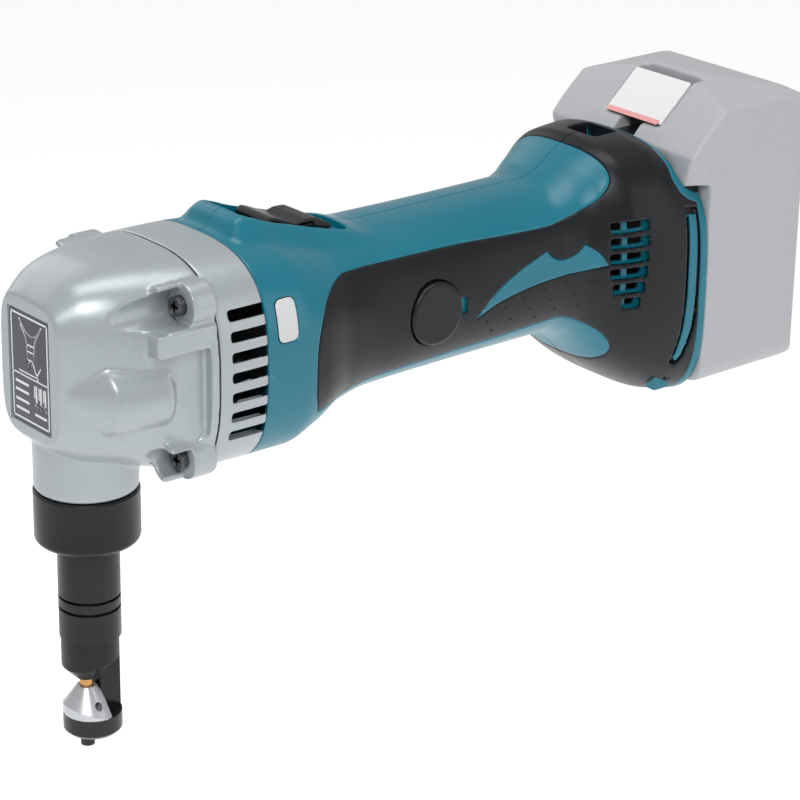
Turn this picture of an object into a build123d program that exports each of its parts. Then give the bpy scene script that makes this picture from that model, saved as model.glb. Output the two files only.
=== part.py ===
"""Cordless nibbler: every physical piece as its own solid, in millimetres.

Row frame: +X runs from the cutting head to the battery, -Y is the tool's left
side, +Z is up.  The origin is on the die holder's axis, inside its plain neck.
"""
from build123d import *
from math import atan, cos, pi, radians, sin, sqrt
import os

# ---- driving dimensions ----------------------------------------------------
AXIS_Z = 72.0            # height of the armature and crank axis
FRONT_X = -20.0          # front face of the gear housing
SEAM_X = 26.5            # gear housing to vent ring
GAP = 0.3                # clearance between parts that only pass each other
FIT = 0.05               # radial clearance of a running fit

# outer sections of the body: x, half width, top, bottom, corner / half width
HEAD = [
    (-20.0, 16.2, 99.5, 53.0, 0.42),
    (-16.5, 19.2, 102.5, 50.0, 0.48),
    (-10.0, 23.5, 106.0, 46.5, 0.55),
    (0.0, 28.5, 109.0, 43.5, 0.60),
    (10.0, 32.5, 109.6, 40.0, 0.64),
    (26.5, 37.5, 109.5, 35.5, 0.70),
]
RING = [
    (26.8, 37.5, 109.5, 35.5, 0.70),
    (44.8, 38.0, 109.2, 35.0, 0.70),
]
HANDLE = [
    (45.0, 38.0, 109.2, 35.0, 0.70),
    (58.0, 38.0, 107.6, 34.8, 0.71),
    (66.0, 37.0, 105.4, 36.0, 0.73),
    (76.0, 34.0, 102.8, 40.0, 0.77),
    (88.0, 31.2, 101.2, 43.2, 0.80),
    (105.0, 30.0, 100.4, 44.8, 0.82),
    (150.0, 28.6, 99.6, 45.4, 0.83),
    (178.0, 28.6, 99.6, 45.2, 0.82),
    (190.0, 30.0, 102.0, 42.0, 0.80),
]
REAR = [
    (190.0, 30.0, 102.0, 42.0, 0.80),
    (198.0, 32.5, 107.5, 36.0, 0.74),
    (208.0, 35.2, 112.3, 27.5, 0.66),
    (220.0, 37.0, 112.6, 18.5, 0.60),
    (229.0, 37.8, 110.5, 14.5, 0.58),
    (241.0, 38.2, 104.0, 12.5, 0.58),
]
GRIP_SKIN = 1.5          # thickness of the black overmould
WALL = 2.8               # plastic wall, overmould included
HEAD_WALL = 3.2          # casting wall

# planetary gears
MODULE = 0.8
SUN_TEETH = 9
PLANET_TEETH = 18
RING_TEETH = 45
PRESSURE_ANGLE = radians(25)
BACKLASH = 0.10          # thinning of each gear's teeth at the pitch circle
PLANET_ORBIT = MODULE * (SUN_TEETH + PLANET_TEETH) / 2
PLANET_ANGLES = [90, 210, 330]
GEAR_X0 = 18.4
GEAR_X1 = 24.6

# crank, rod and plunger
ECCENTRIC = 3.0          # half of the 6 mm stroke
CRANK_PIN_Z = AXIS_Z - ECCENTRIC
WRIST_Z = 42.0
PLUNGER_R = 8.0
PUNCH_R = 2.2
PUNCH_SHANK_R = 4.5
PUNCH_X = -2.2           # the cutting tip stands off the shank's axis

# nose
NECK_R = 17.0
SPIGOT_R = 14.2
NUT_R = 17.3
NUT_Z0 = 13.6
NUT_Z1 = 32.0
HOLDER_R = 10.2
DIE_TOP_Z = -39.0
FOOT_Z1 = -48.7
FOOT_Z0 = -56.0

# motor
FAN_X = (46.0, 55.0)
FAN_R = 25.0
CAN_X = (61.0, 108.0)
CAN_R = 23.5
ARM_R = 14.5
BRUSH_X = 121.5
COMMUTATOR_R = 9.0
CAP_R = 11.0

# battery pack
PACK_FRONT_X = 241.4
PACK_REAR_X = 292.0
PACK_HALF = 37.2
PACK_BOTTOM = 19.5
PACK_TOP = 127.6
PACK_SPLIT_X = 264.0
CELL_R = 9.2
CELL_LENGTH = 64.6
RAIL_X = 236.3           # step between the pack's rail and its narrower root


# ---- small helpers -----------------------------------------------------------
LOW = (Align.CENTER, Align.CENTER, Align.MIN)


def cyl_x(radius, x0, x1, y=0.0, z=AXIS_Z):
    return Pos((x0 + x1) / 2, y, z) * Rot(0, 90, 0) * Cylinder(radius, x1 - x0)


def cyl_y(radius, y0, y1, x, z):
    return Pos(x, (y0 + y1) / 2, z) * Rot(90, 0, 0) * Cylinder(radius, y1 - y0)


def cyl_z(radius, z0, z1, x=0.0, y=0.0):
    return Pos(x, y, (z0 + z1) / 2) * Cylinder(radius, z1 - z0)


def block(x0, x1, y0, y1, z0, z1):
    centre = Pos((x0 + x1) / 2, (y0 + y1) / 2, (z0 + z1) / 2)
    return centre * Box(x1 - x0, y1 - y0, z1 - z0)


def tube_x(outer, inner, x0, x1, y=0.0, z=AXIS_Z):
    return cyl_x(outer, x0, x1, y, z) - cyl_x(inner, x0 - 1, x1 + 1, y, z)


def tube_z(outer, inner, z0, z1, x=0.0, y=0.0):
    return cyl_z(outer, z0, z1, x, y) - cyl_z(inner, z0 - 1, z1 + 1, x, y)


def side_prism(points, y0, y1):
    """Extrude a closed XZ outline between two Y planes."""
    face = make_face(Polyline(*[(x, 0, z) for x, z in points], close=True))
    return extrude(Pos(0, y0, 0) * face, y1 - y0, dir=(0, 1, 0))


def section(x, half_width, top, bottom, corner, inset=0.0):
    """One rounded section of the body in the plane at x."""
    plane = Plane(origin=(x, 0, (top + bottom) / 2), x_dir=(0, 1, 0), z_dir=(1, 0, 0))
    half = half_width - inset
    height = top - bottom - 2 * inset
    radius = max(corner * half_width - inset, 2.0)
    return plane * RectangleRounded(2 * half, height, min(radius, half * 0.96, height * 0.48))


def body_loft(table, inset=0.0):
    return loft([section(*row, inset=inset) for row in table], ruled=True)


def both_sides(part):
    """A piece and its mirror image across the tool's middle plane."""
    return part + mirror(part, about=Plane.XZ)


def fused(parts):
    return parts[0] + parts[1:]


def left_half(part):
    return part & block(-40, 320, -80, 0, -80, 160)


def right_half(part):
    return part & block(-40, 320, 0, 80, -80, 160)


PARTS = {}


def save(name, *shapes):
    """Keep a node: one solid, or a group of separate solids."""
    pieces = []
    for shape in shapes:
        pieces.extend(shape.solids())
    PARTS[name] = pieces[0] if len(pieces) == 1 else Compound(children=pieces)


# ---- gears -------------------------------------------------------------------
def involute_angle(radius, base):
    """Polar angle that an involute has turned through at a radius."""
    if radius <= base:
        return 0.0
    roll = sqrt((radius / base) ** 2 - 1)
    return roll - atan(roll)


def gear_face(teeth, tip_add, root_add, thickness_change):
    """A spur gear's outline about the X axis with a tooth centred on +Y."""
    pitch = MODULE * teeth / 2
    base = pitch * cos(PRESSURE_ANGLE)
    tip = pitch + tip_add
    root = pitch - root_add
    half_pitch = (pi * MODULE / 2 + thickness_change) / 2 / pitch
    at_pitch = involute_angle(pitch, base)
    start = max(root, base)
    radii = [start + (tip - start) * k / 4 for k in range(5)]
    points = []
    for tooth in range(teeth):
        middle = 2 * pi * tooth / teeth
        flank = [(r, half_pitch + at_pitch - involute_angle(r, base)) for r in radii]
        if root < base:
            flank.insert(0, (root, flank[0][1]))
        for r, a in flank:
            points.append((r * cos(middle - a), r * sin(middle - a)))
        for r, a in reversed(flank):
            points.append((r * cos(middle + a), r * sin(middle + a)))
    return Polyline(*points, close=True)


def gear_solid(teeth, tip_add, root_add, thickness_change, x0, x1, turn, y=0.0, z=AXIS_Z):
    face = make_face(gear_face(teeth, tip_add, root_add, thickness_change))
    plane = Plane(origin=(x0, y, z), x_dir=(0, 1, 0), z_dir=(1, 0, 0))
    return extrude(plane * (Rot(0, 0, turn) * face), x1 - x0)


# ---- head ----------------------------------------------------------------------
SCREW_Y = 29.0
SCREW_Z = (98.0, 46.5)
SCREW_SEAT_X = 17.5


def head_screw_places():
    return [(side * SCREW_Y, z) for side in (-1, 1) for z in SCREW_Z]


def head_outer():
    """Flared casting, its neck, the side bulges over the crank and the screw bosses."""
    shape = body_loft(HEAD)
    shape += cyl_z(NECK_R, 32.3, 62.0)
    bulge = cyl_x(13.6, -4.0, 12.0, y=17.6, z=70.5)
    bulge += Pos(-4.0, 17.6, 70.5) * Rot(0, -90, 0) * Cone(13.6, 2.0, 14.5, align=LOW)
    shape += both_sides(bulge)
    for y, z in head_screw_places():
        shape += cyl_x(6.4, SCREW_SEAT_X, SEAM_X, y=y, z=z)
    return shape


def head_pockets():
    """Open pockets in front of the screw heads, and the shallow panel between them."""
    cut = cyl_x(5.2, 0.0, SCREW_SEAT_X, y=SCREW_Y, z=SCREW_Z[0])
    cut += block(0.0, SCREW_SEAT_X, SCREW_Y, 50, SCREW_Z[0] - 5.2, SCREW_Z[0] + 5.2)
    cut += cyl_x(4.6, 4.0, SCREW_SEAT_X, y=SCREW_Y, z=SCREW_Z[1])
    cut += block(4.0, SCREW_SEAT_X, SCREW_Y, 50, SCREW_Z[1] - 4.6, SCREW_Z[1] + 4.6)
    return both_sides(cut)


def make_head():
    shape = head_outer() - head_pockets()
    shape -= cyl_x(17.0, -16.0, 3.8)
    shape -= cyl_x(25.2, 3.4, 9.6)
    shape -= cyl_x(14.0, 9.0, 15.0)
    shape -= cyl_x(16.0, 14.0, 17.0)
    shape -= cyl_x(22.4, 17.0, SEAM_X + 1)
    shape -= cyl_z(11.0, 10.0, 64.0)
    shape += tube_z(SPIGOT_R, 11.0, 21.3, 33.0)
    for y, z in head_screw_places():
        shape -= cyl_x(2.3, 10.0, SEAM_X + 1, y=y, z=z)
    shape -= block(FRONT_X - 1, FRONT_X + 0.5, -12.4, 12.4, 57.0, 95.0)
    save("gear_housing", shape)

    plate = block(FRONT_X + 0.05, FRONT_X + 0.5, -12.2, 12.2, 57.2, 94.8)
    save("front_plate", plate)

    save("plunger_bush", tube_z(11.0, PLUNGER_R + FIT, 21.4, 45.2))
    save("plunger_seal", tube_z(11.0, PLUNGER_R + GAP, 45.2, 47.6))
    save("crank_bearing", ball_bearing(14.0, 6.0, 9.6, 14.6))


def ball_bearing(outer, inner, x0, x1):
    """Closed bearing: outer and inner ring with shields, as one solid ring."""
    ring = tube_x(outer, inner, x0, x1)
    groove = tube_x(outer * 0.86, inner + (outer - inner) * 0.25, x0 - 1, x0 + 0.4)
    groove += tube_x(outer * 0.86, inner + (outer - inner) * 0.25, x1 - 0.4, x1 + 1)
    return ring - groove


def make_gears():
    ring_turn = 90 + 180 / RING_TEETH
    ring_cut = gear_solid(RING_TEETH, MODULE, 0.8 * MODULE, BACKLASH, 16, 27, ring_turn)
    ring = cyl_x(22.4, 17.2, 26.3) - ring_cut
    ring -= cyl_x(MODULE * RING_TEETH / 2 + MODULE, 24.9, 27)
    save("ring_gear", ring)
    half_step = 180 / PLANET_TEETH
    for index, angle in enumerate(PLANET_ANGLES):
        y = PLANET_ORBIT * cos(radians(angle))
        z = AXIS_Z + PLANET_ORBIT * sin(radians(angle))
        gear = gear_solid(PLANET_TEETH, 0.8 * MODULE, MODULE, -BACKLASH,
                          GEAR_X0, GEAR_X1, 90 + half_step, y, z)
        save(f"planet_gear_{index + 1}", gear - cyl_x(2.0 + FIT, 10, 30, y=y, z=z))


def make_crank():
    """Crankshaft with its disc, counterweight and the three planet pins."""
    shaft = cyl_x(6.0, 8.9, 15.2)
    shaft += cyl_x(13.0, 4.0, 9.0)
    shaft += cyl_x(15.0, 15.1, 18.1)
    for angle in PLANET_ANGLES:
        y = PLANET_ORBIT * cos(radians(angle))
        z = AXIS_Z + PLANET_ORBIT * sin(radians(angle))
        shaft += cyl_x(2.0, 18.0, 25.0, y=y, z=z)
    weight = tube_x(24.0, 12.0, 4.2, 8.8)
    save("crankshaft", shaft + (weight & side_fan(30.0, 30, 150)))


def side_fan(radius, angle0, angle1):
    """A pie slice about the crank axis between two angles in the YZ plane."""
    points = [(0, 0)]
    steps = 8
    for k in range(steps + 1):
        a = radians(angle0 + (angle1 - angle0) * k / steps)
        points.append((radius * cos(a), radius * sin(a)))
    face = make_face(Polyline(*points, close=True))
    plane = Plane(origin=(0, 0, AXIS_Z), x_dir=(0, 1, 0), z_dir=(1, 0, 0))
    return extrude(plane * face, 20)


def make_rod():
    big = tube_x(10.5, 6.5, -3.4, 3.4, z=CRANK_PIN_Z)
    small = tube_x(5.4, 2.5 + FIT, -3.0, 3.0, z=WRIST_Z)
    bar = block(-2.6, 2.6, -4.0, 4.0, WRIST_Z + 3.5, CRANK_PIN_Z - 8.0)
    bar -= block(-3.5, -1.2, -1.8, 1.8, WRIST_Z + 7.0, CRANK_PIN_Z - 12.0)
    save("connecting_rod", big + small + bar)
    save("rod_needle_bearing", tube_x(6.5, 4.0, -3.3, 3.3, z=CRANK_PIN_Z))
    save("crank_pin", cyl_x(4.0, -4.0, 3.7, z=CRANK_PIN_Z))


def make_plunger():
    body = cyl_z(PLUNGER_R, 24.0, 48.0)
    body -= block(-3.4, 3.4, -9, 9, WRIST_Z - 6.0, 49.0)
    body -= cyl_x(2.5, -9, 9, z=WRIST_Z)
    head_slot = cyl_z(4.4, 25.2, 28.8) + block(-9, 0, -4.4, 4.4, 25.2, 28.8)
    neck_slot = cyl_z(3.4, 23, 26) + block(-9, 0, -3.4, 3.4, 23, 26)
    save("plunger", body - head_slot - neck_slot)
    save("wrist_pin", cyl_x(2.5, -7.4, 7.4, z=WRIST_Z))


# ---- nose ----------------------------------------------------------------------
def holder_nose():
    """Lower part of the die holder: punch guide, rear blade and foot."""
    column = cyl_z(9.8, FOOT_Z0, -20.6)
    guide_cone = Pos(PUNCH_X, 0, -36.0) * Cone(3.2, 18.0, 15.4, align=LOW)
    guide = column & guide_cone
    guide &= block(-11, 6.0, -11, 11, -36.0, -20.6)
    blade = column & block(1.6, 11, -2.7, 2.7, FOOT_Z0, -20.6)
    foot = column & block(-11, 11, -11, 11, FOOT_Z0, FOOT_Z1)
    foot = chamfer(foot.edges().sort_by(Axis.Z)[0], 1.4)
    return guide + blade + foot


def make_nose():
    holder = cyl_z(13.8, 17.3, 21.0) + cyl_z(10.0, NUT_Z0, 17.4)
    holder += cyl_z(HOLDER_R, -20.6, NUT_Z0)
    for z in (-6.0, -10.0):
        holder -= tube_z(HOLDER_R + 1, HOLDER_R - 1.1, z - 0.5, z + 0.5)
    holder += holder_nose()
    holder -= cyl_z(PUNCH_SHANK_R + FIT, -30.3, 22.0)
    holder -= cyl_z(PUNCH_R + FIT, -37.0, -29.0, x=PUNCH_X)
    holder -= cyl_z(4.0, -54.0, -48.0, x=PUNCH_X)
    holder -= cyl_z(1.6, -57.0, -53.0, x=PUNCH_X)
    save("die_holder", holder)

    die = Pos(PUNCH_X, 0, FOOT_Z1) * Cone(10.0, 3.2, DIE_TOP_Z - FOOT_Z1, align=LOW)
    die &= cyl_z(9.8, FOOT_Z1, DIE_TOP_Z)
    die -= block(1.5, 12, -12, 12, -50, -38)
    die += cyl_z(4.0, -53.0, FOOT_Z1, x=PUNCH_X)
    die -= cyl_z(PUNCH_R + 0.08, -46.0, -38.0, x=PUNCH_X)
    die -= cyl_y(1.3, -12.0, 0.0, PUNCH_X, -44.6)
    die -= cyl_z(1.6, -54.0, -49.6, x=PUNCH_X)
    save("die", die)
    bolt = cyl_z(1.6, -56.0, -49.8, x=PUNCH_X)
    bolt += cyl_z(2.4, -60.9, FOOT_Z0, x=PUNCH_X)
    bolt -= Pos(PUNCH_X, 0, -60.9) * extrude(RegularPolygon(1.3, 6), 2.4)
    save("die_bolt", bolt)

    punch = cyl_z(4.0, 25.5, 28.5) + cyl_z(3.0, 21.9, 25.6)
    punch += cyl_z(PUNCH_SHANK_R, -23.8, 22.0)
    punch += cyl_z(PUNCH_R, -40.0, -23.8, x=PUNCH_X)
    save("punch", punch)

    nut = cyl_z(NUT_R, NUT_Z0, NUT_Z1)
    nut = fillet(nut.edges().group_by(Axis.Z)[0], 2.2)
    nut = chamfer(nut.edges().group_by(Axis.Z)[-1], 0.6)
    nut -= cyl_z(HOLDER_R + GAP, 10, 18)
    nut -= cyl_z(SPIGOT_R + FIT, 17.0, 34.0)
    save("lock_nut", nut)


# ---- motor ---------------------------------------------------------------------
def make_armature():
    shaft = cyl_x(4.0, 27.0, 45.0) + cyl_x(3.0, 44.0, 139.0)
    shaft += gear_solid(SUN_TEETH, 0.8 * MODULE, MODULE, -BACKLASH, 18.6, 27.1, 90)
    save("armature_shaft", shaft)

    core = tube_x(ARM_R, 3.0, 66.0, 102.0)
    slots = 12
    for k in range(slots):
        slot = block(65, 103, -1.0, 1.0, ARM_R - 6.0, ARM_R + 1)
        core -= Pos(0, 0, AXIS_Z) * Rot(360 * k / slots, 0, 0) * slot
    save("laminations", core)
    coil = tube_x(12.6, 3.0, 59.5, 66.0) + tube_x(12.6, 3.0, 102.0, 108.5)
    save("windings", *coil.solids())
    commutator = tube_x(COMMUTATOR_R, 3.0, 112.0, 130.0)
    for k in range(slots):
        cut = block(114, 131, -0.25, 0.25, COMMUTATOR_R - 1.2, COMMUTATOR_R + 1)
        commutator -= Pos(0, 0, AXIS_Z) * Rot(360 * k / slots + 15, 0, 0) * cut
    save("commutator", commutator)

    fan = tube_x(6.0, 3.0, FAN_X[0], FAN_X[1]) + tube_x(FAN_R, 5.9, FAN_X[1] - 1.5, FAN_X[1])
    blades = 18
    for k in range(blades):
        blade = block(FAN_X[0], FAN_X[1] - 1.4, -0.6, 0.6, 13.0, FAN_R - 0.2)
        fan += Pos(0, 0, AXIS_Z) * Rot(360 * k / blades, 0, 0) * blade
    save("cooling_fan", fan)


def make_motor():
    save("motor_bearings", ball_bearing(11.0, 4.0, 31.5, 38.5), ball_bearing(9.5, 3.0, 131.5, 137.5))
    plate = cyl_x(33.0, 26.5, 31.4) + tube_x(14.0, 11.0, 31.3, 38.5)
    save("bearing_plate", plate - cyl_x(6.0, 26, 40) - cyl_x(11.0, 31.4, 40))
    save("motor_can", tube_x(CAN_R, CAN_R - 2.0, *CAN_X))
    magnet = tube_x(CAN_R - 2.0, ARM_R + 0.6, 66.0, 103.0)
    gap = block(60, 110, -30, 30, -9.0, 9.0)
    halves = magnet - Pos(0, 0, AXIS_Z) * gap
    save("field_magnets", *halves.solids())
    save("fan_baffle", tube_x(25.6, 16.0, 57.0, 58.6))
    holder = block(BRUSH_X - 6.0, BRUSH_X + 6.0, 12.0, 25.6, AXIS_Z - 6.0, AXIS_Z + 6.0)
    holder -= block(BRUSH_X - 3.7, BRUSH_X + 3.7, 10, 30, AXIS_Z - 3.7, AXIS_Z + 3.7)
    brush = block(BRUSH_X - 3.6, BRUSH_X + 3.6, 9.1, 19.0, AXIS_Z - 3.6, AXIS_Z + 3.6)
    brush -= cyl_x(COMMUTATOR_R + 0.05, 110, 134)
    save("carbon_brushes", brush, mirror(brush, about=Plane.XZ))
    spring = cyl_y(2.6, 19.0, 25.6, BRUSH_X, AXIS_Z) - cyl_y(1.6, 18, 27, BRUSH_X, AXIS_Z)
    save("brush_springs", spring, mirror(spring, about=Plane.XZ))
    seat = block(124.0, 139.0, -22.0, 22.0, 62.0, 82.0) - cyl_x(10.2, 120, 131.0)
    seat -= cyl_x(9.5, 130, 137.6)
    seat -= cyl_x(4.0, 120, 150)
    window = block(BRUSH_X - 3.7, BRUSH_X + 3.7, -30, 30, AXIS_Z - 3.7, AXIS_Z + 3.7)
    save("brush_bracket", seat + both_sides(holder) - window)


# ---- plastic housing -------------------------------------------------------------
def grip_outline():
    """Side outline of the black overmould, from the front of the grip to the rear rim."""
    front = ThreePointArc((77.0, 0, 92.7), (67.2, 0, 74.0), (70.0, 0, 52.0))
    low = Spline((70.0, 0, 52.0), (95.0, 0, 54.6), (130.0, 0, 56.6), (170.0, 0, 56.2), (188.0, 0, 54.4))
    lobe = Spline((188.0, 0, 54.4), (201.0, 0, 46.0), (206.5, 0, 36.0), (203.0, 0, 22.0))
    under = Polyline((203.0, 0, 22.0), (203.0, 0, -5.0), (237.0, 0, -5.0), (237.0, 0, 125.0),
                     (186.0, 0, 125.0))
    tongue = Spline((186.0, 0, 125.0), (190.5, 0, 112.0), (195.0, 0, 104.0), (190.5, 0, 96.5), (178.0, 0, 93.0))
    top = Line((178.0, 0, 93.0), (77.0, 0, 92.7))
    return make_face(front + low + lobe + under + tongue + top)


def flame_outline():
    """The plastic's own colour showing through the overmould as a flame shape."""
    low = Spline((135.5, 0, 67.0), (147.0, 0, 71.2), (158.0, 0, 74.2), (170.0, 0, 76.3), (183.0, 0, 75.6),
                 (195.0, 0, 73.8))
    tip = Spline((195.0, 0, 73.8), (193.0, 0, 78.6), (187.0, 0, 83.6))
    bite = Spline((187.0, 0, 83.6), (177.5, 0, 80.6), (169.5, 0, 85.2))
    back = Spline((169.5, 0, 85.2), (157.0, 0, 82.4), (146.0, 0, 75.8), (135.5, 0, 67.0))
    return make_face(low + tip + bite + back)


def grip_region():
    wide = extrude(Pos(0, -60, 0) * grip_outline(), 120, dir=(0, 1, 0))
    flame = extrude(Pos(0, -60, 0) * flame_outline(), 120, dir=(0, 1, 0))
    return wide - flame


VENT_ROWS = 6
VENT_Z0 = 60.5
VENT_PITCH = 5.9


def vent_slots(height, pieces):
    """Rows of cooling slots through both sides at the rear, as a list of cutters."""
    slots = []
    for row in range(VENT_ROWS):
        z = VENT_Z0 + row * VENT_PITCH
        for x0, x1 in pieces:
            slots.append(block(x0, x1, 20, 60, z, z + height))
            slots.append(block(x0, x1, -60, -20, z, z + height))
    return slots


RING_SLOTS = 7
RING_SLOT_Z0 = 50.6
RING_SLOT_PITCH = 6.75


def make_vent_ring():
    solid = body_loft(RING)
    ends = [(RING[0][0] - 1, *RING[0][1:]), (RING[1][0] + 1, *RING[1][1:])]
    ring = solid - body_loft(ends, inset=HEAD_WALL)
    bosses = [cyl_x(5.0, 26.8, 44.8, y=y, z=z) for y, z in head_screw_places()]
    ring += [boss & solid for boss in bosses]
    cuts = [cyl_x(2.3, 20, 50, y=y, z=z) for y, z in head_screw_places()]
    for k in range(RING_SLOTS):
        z = RING_SLOT_Z0 + k * RING_SLOT_PITCH
        cuts.append(block(31.0, 46.0, 20, 60, z, z + 3.6))
        cuts.append(block(31.0, 46.0, -60, -20, z, z + 3.6))
    save("vent_ring", ring - cuts)


SWITCH_FLOOR = 100.2
RECESS_Z = 22.4          # floor of the battery recess


def switch_hump():
    plan = Pos(75.0, 0, 84.0) * extrude(RectangleRounded(58.0, 31.0, 13.0), 40)
    profile = side_prism([(45.2, 84), (45.2, 110.5), (48.5, 114.2), (53.0, 115.0), (58.0, 112.6),
                          (100.0, 102.2), (105.0, 96), (105.0, 84)], -20, 20)
    return plan & profile


def switch_recess():
    return Pos(76.5, 0, SWITCH_FLOOR) * extrude(RectangleRounded(45.0, 22.0, 4.5), 30)


HOUSING_SCREWS = [(145.0, 86.0), (145.0, 56.0), (185.0, 86.0), (185.0, 56.0), (215.0, 98.0), (215.0, 32.0)]


def housing_body(inset=0.0):
    return body_loft(HANDLE, inset=inset) + body_loft(REAR, inset=inset)


def housing_inner():
    """Hollow of the plastic housing, flat under the switch and closed at the rear."""
    core = housing_body(WALL) & block(40, 229.5, -40, 40, 5, 105.4)
    return core - block(40, 101, -40, 40, 97.9, 120)


def shared_cuts():
    """Cuts that go through the overmould and the plastic under it."""
    cuts = [
        block(229.2, 245, -60, 60, 95.0, 130),
        block(224.0, 240, -5.2, 5.2, 102.8, 120),
        block(211.5, 222.8, -8.5, 8.5, 108.0, 120),
        block(228.7, 233.9, 36.2, 60, 29.7, 88.3),
        block(228.7, 233.9, -60, -36.2, 29.7, 88.3),
        cyl_y(CAP_R + 0.4, 22.0, 40.0, BRUSH_X, AXIS_Z),
        cyl_y(CAP_R + 0.4, -40.0, -22.0, BRUSH_X, AXIS_Z),
    ]
    cuts += [cyl_y(3.4, 14.0, 60, x, z) for x, z in HOUSING_SCREWS]
    return cuts


def make_housing():
    outer = housing_body() + switch_hump()
    skin = (outer - housing_body(GRIP_SKIN)) & grip_region()
    posts = housing_body(1.6) & fused([cyl_y(4.0, -40, 40, x, z) for x, z in HOUSING_SCREWS])
    lugs = body_loft(HANDLE, inset=1.6)
    lugs &= fused([cyl_x(5.0, 45.0, 62.0, y=y, z=z) for y, z in head_screw_places()])
    shell = outer - skin - housing_inner() + posts + lugs
    inserts = outer & fused([block(47.7, 56.8, -60, -36.5, 81.8, 95.2), block(47.7, 56.8, 36.5, 60, 81.8, 95.2)])
    pills = [block(47.5, 57.0, -60, -36.4, 81.6, 95.4), block(47.5, 57.0, 36.4, 60, 81.6, 95.4)]
    holes = [cyl_y(1.7, -26, 60, x, z) for x, z in HOUSING_SCREWS]
    holes += [cyl_x(2.0, 44, 60, y=y, z=z) for y, z in head_screw_places()]
    recess = [block(229.5, 245, -31.4, 31.4, RECESS_Z, 120)]
    switch_cuts = [switch_recess(), block(62.0, 93.0, -3.6, 3.6, 90, 110)]
    windows = vent_slots(3.0, [(193.5, 201.0), (202.5, 210.5)])
    for cuts in (recess, shared_cuts(), switch_cuts, pills, holes, windows):
        shell -= cuts
    skin -= shared_cuts() + vent_slots(4.0, [(192.5, 211.5)])
    save("housing_left", largest(left_half(shell)))
    save("housing_right", largest(right_half(shell)))
    save("grip_left", largest(left_half(skin)))
    save("grip_right", largest(right_half(skin)))
    save("side_inserts", inserts)


def largest(shape):
    return max(shape.solids(), key=lambda solid: solid.volume)


def make_fasteners():
    heads = []
    for y, z in head_screw_places():
        screw = cyl_x(3.3, 14.9, SCREW_SEAT_X, y=y, z=z) + cyl_x(2.0, 17.4, 55.0, y=y, z=z)
        cross = block(14, 16.4, y - 0.5, y + 0.5, z - 2.0, z + 2.0)
        cross += block(14, 16.4, y - 2.0, y + 2.0, z - 0.5, z + 0.5)
        heads.append(screw - cross)
    save("head_screws", *heads)
    screws = []
    for x, z in HOUSING_SCREWS:
        screw = cyl_y(1.6, -18.0, 14.1, x, z) + cyl_y(3.1, 14.0, 16.6, x, z)
        screw -= block(x - 0.4, x + 0.4, 15.2, 17, z - 1.9, z + 1.9)
        screw -= block(x - 1.9, x + 1.9, 15.2, 17, z - 0.4, z + 0.4)
        screws.append(screw)
    save("housing_screws", *screws)
    cap = cyl_y(CAP_R, 25.8, 30.4, BRUSH_X, AXIS_Z)
    cap = fillet(cap.edges().sort_by(Axis.Y)[-1], 1.2)
    save("brush_caps", cap, mirror(cap, about=Plane.XZ))


# ---- switch ----------------------------------------------------------------------
SWITCH_PIVOT = (82.0, 103.6)


def make_switch():
    slider = block(65.0, 94.0, -9.4, 9.4, SWITCH_FLOOR + 0.2, 101.6)
    slider += block(72.0, 91.0, -3.2, 3.2, 97.4, SWITCH_FLOOR + 0.3)
    for side in (-1, 1):
        slider += block(79.2, 84.8, side * 7.6 - 1.2, side * 7.6 + 1.2, 101.5, 105.8)
    slider -= cyl_y(1.0, -12, 12, *SWITCH_PIVOT)
    save("switch_slider", slider, cyl_y(1.0, -8.7, 8.7, *SWITCH_PIVOT))
    lever = side_prism([(65.4, 103.3), (66.4, 109.4), (68.0, 110.9), (70.2, 110.3), (78.4, 106.8),
                        (82.0, 107.7), (86.2, 107.4), (91.2, 104.8), (92.8, 103.3), (92.8, 102.6),
                        (84.5, 102.0), (79.5, 102.0)], -8.8, 8.8)
    lever -= cyl_y(1.05, -12, 12, *SWITCH_PIVOT)
    for side in (-1, 1):
        lever -= block(78.8, 85.2, side * 7.6 - 1.5, side * 7.6 + 1.5, 101, 106.2)
    save("switch_lever", lever)
    link = block(72.0, 117.8, -4.0, 4.0, 95.8, 97.1) + block(116.4, 117.8, -4.0, 4.0, 94.0, 97.1)
    link += block(116.4, 150.0, -4.0, 4.0, 94.0, 95.4)
    save("switch_link", link)
    unit = block(150.4, 176.0, -9.5, 9.5, 77.0, 94.5)
    unit -= block(156.0, 160.0, -10, -6.0, 76, 80)
    save("switch_unit", unit)


# ---- rear end ----------------------------------------------------------------------
def make_rear():
    plate = block(225.6, 229.3, -31.0, 31.0, RECESS_Z + 0.4, 94.6)
    plate += block(225.6, 229.3, -21.0, 21.0, 90.0, 101.0)
    plate -= block(224, 230, -9.0, 9.0, 30, 36)
    rail = block(229.2, 240.6, 29.2, 31.2, RECESS_Z + 0.4, 94.6)
    rail += block(236.8, 240.6, 26.6, 29.3, RECESS_Z + 0.4, 94.6)
    save("rail_plate", (plate & housing_body(3.0)) + both_sides(rail))
    blades = block(229.3, 237.0, -9.4, -8.6, 42.0, 58.0) + block(229.3, 237.0, 8.6, 9.4, 42.0, 58.0)
    base = block(229.3, 233.0, -12.0, 12.0, 38.0, 42.0)
    save("terminal_block", base + blades)
    strips = both_sides(block(229.0, 233.6, 36.3, 60.0, 30.0, 88.0)) & body_loft(REAR)
    save("side_bumpers", *strips.solids())
    board = block(196.0, 218.0, -14.0, 14.0, 44.0, 45.8) + block(200.0, 210.0, -8.0, 8.0, 45.8, 52.0)
    save("control_board", board)


def wire(points, radius, bend):
    path = FilletPolyline(*points, radius=bend)
    plane = Plane(origin=path @ 0, z_dir=path % 0)
    return sweep(plane * Circle(radius), path=path)


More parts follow.
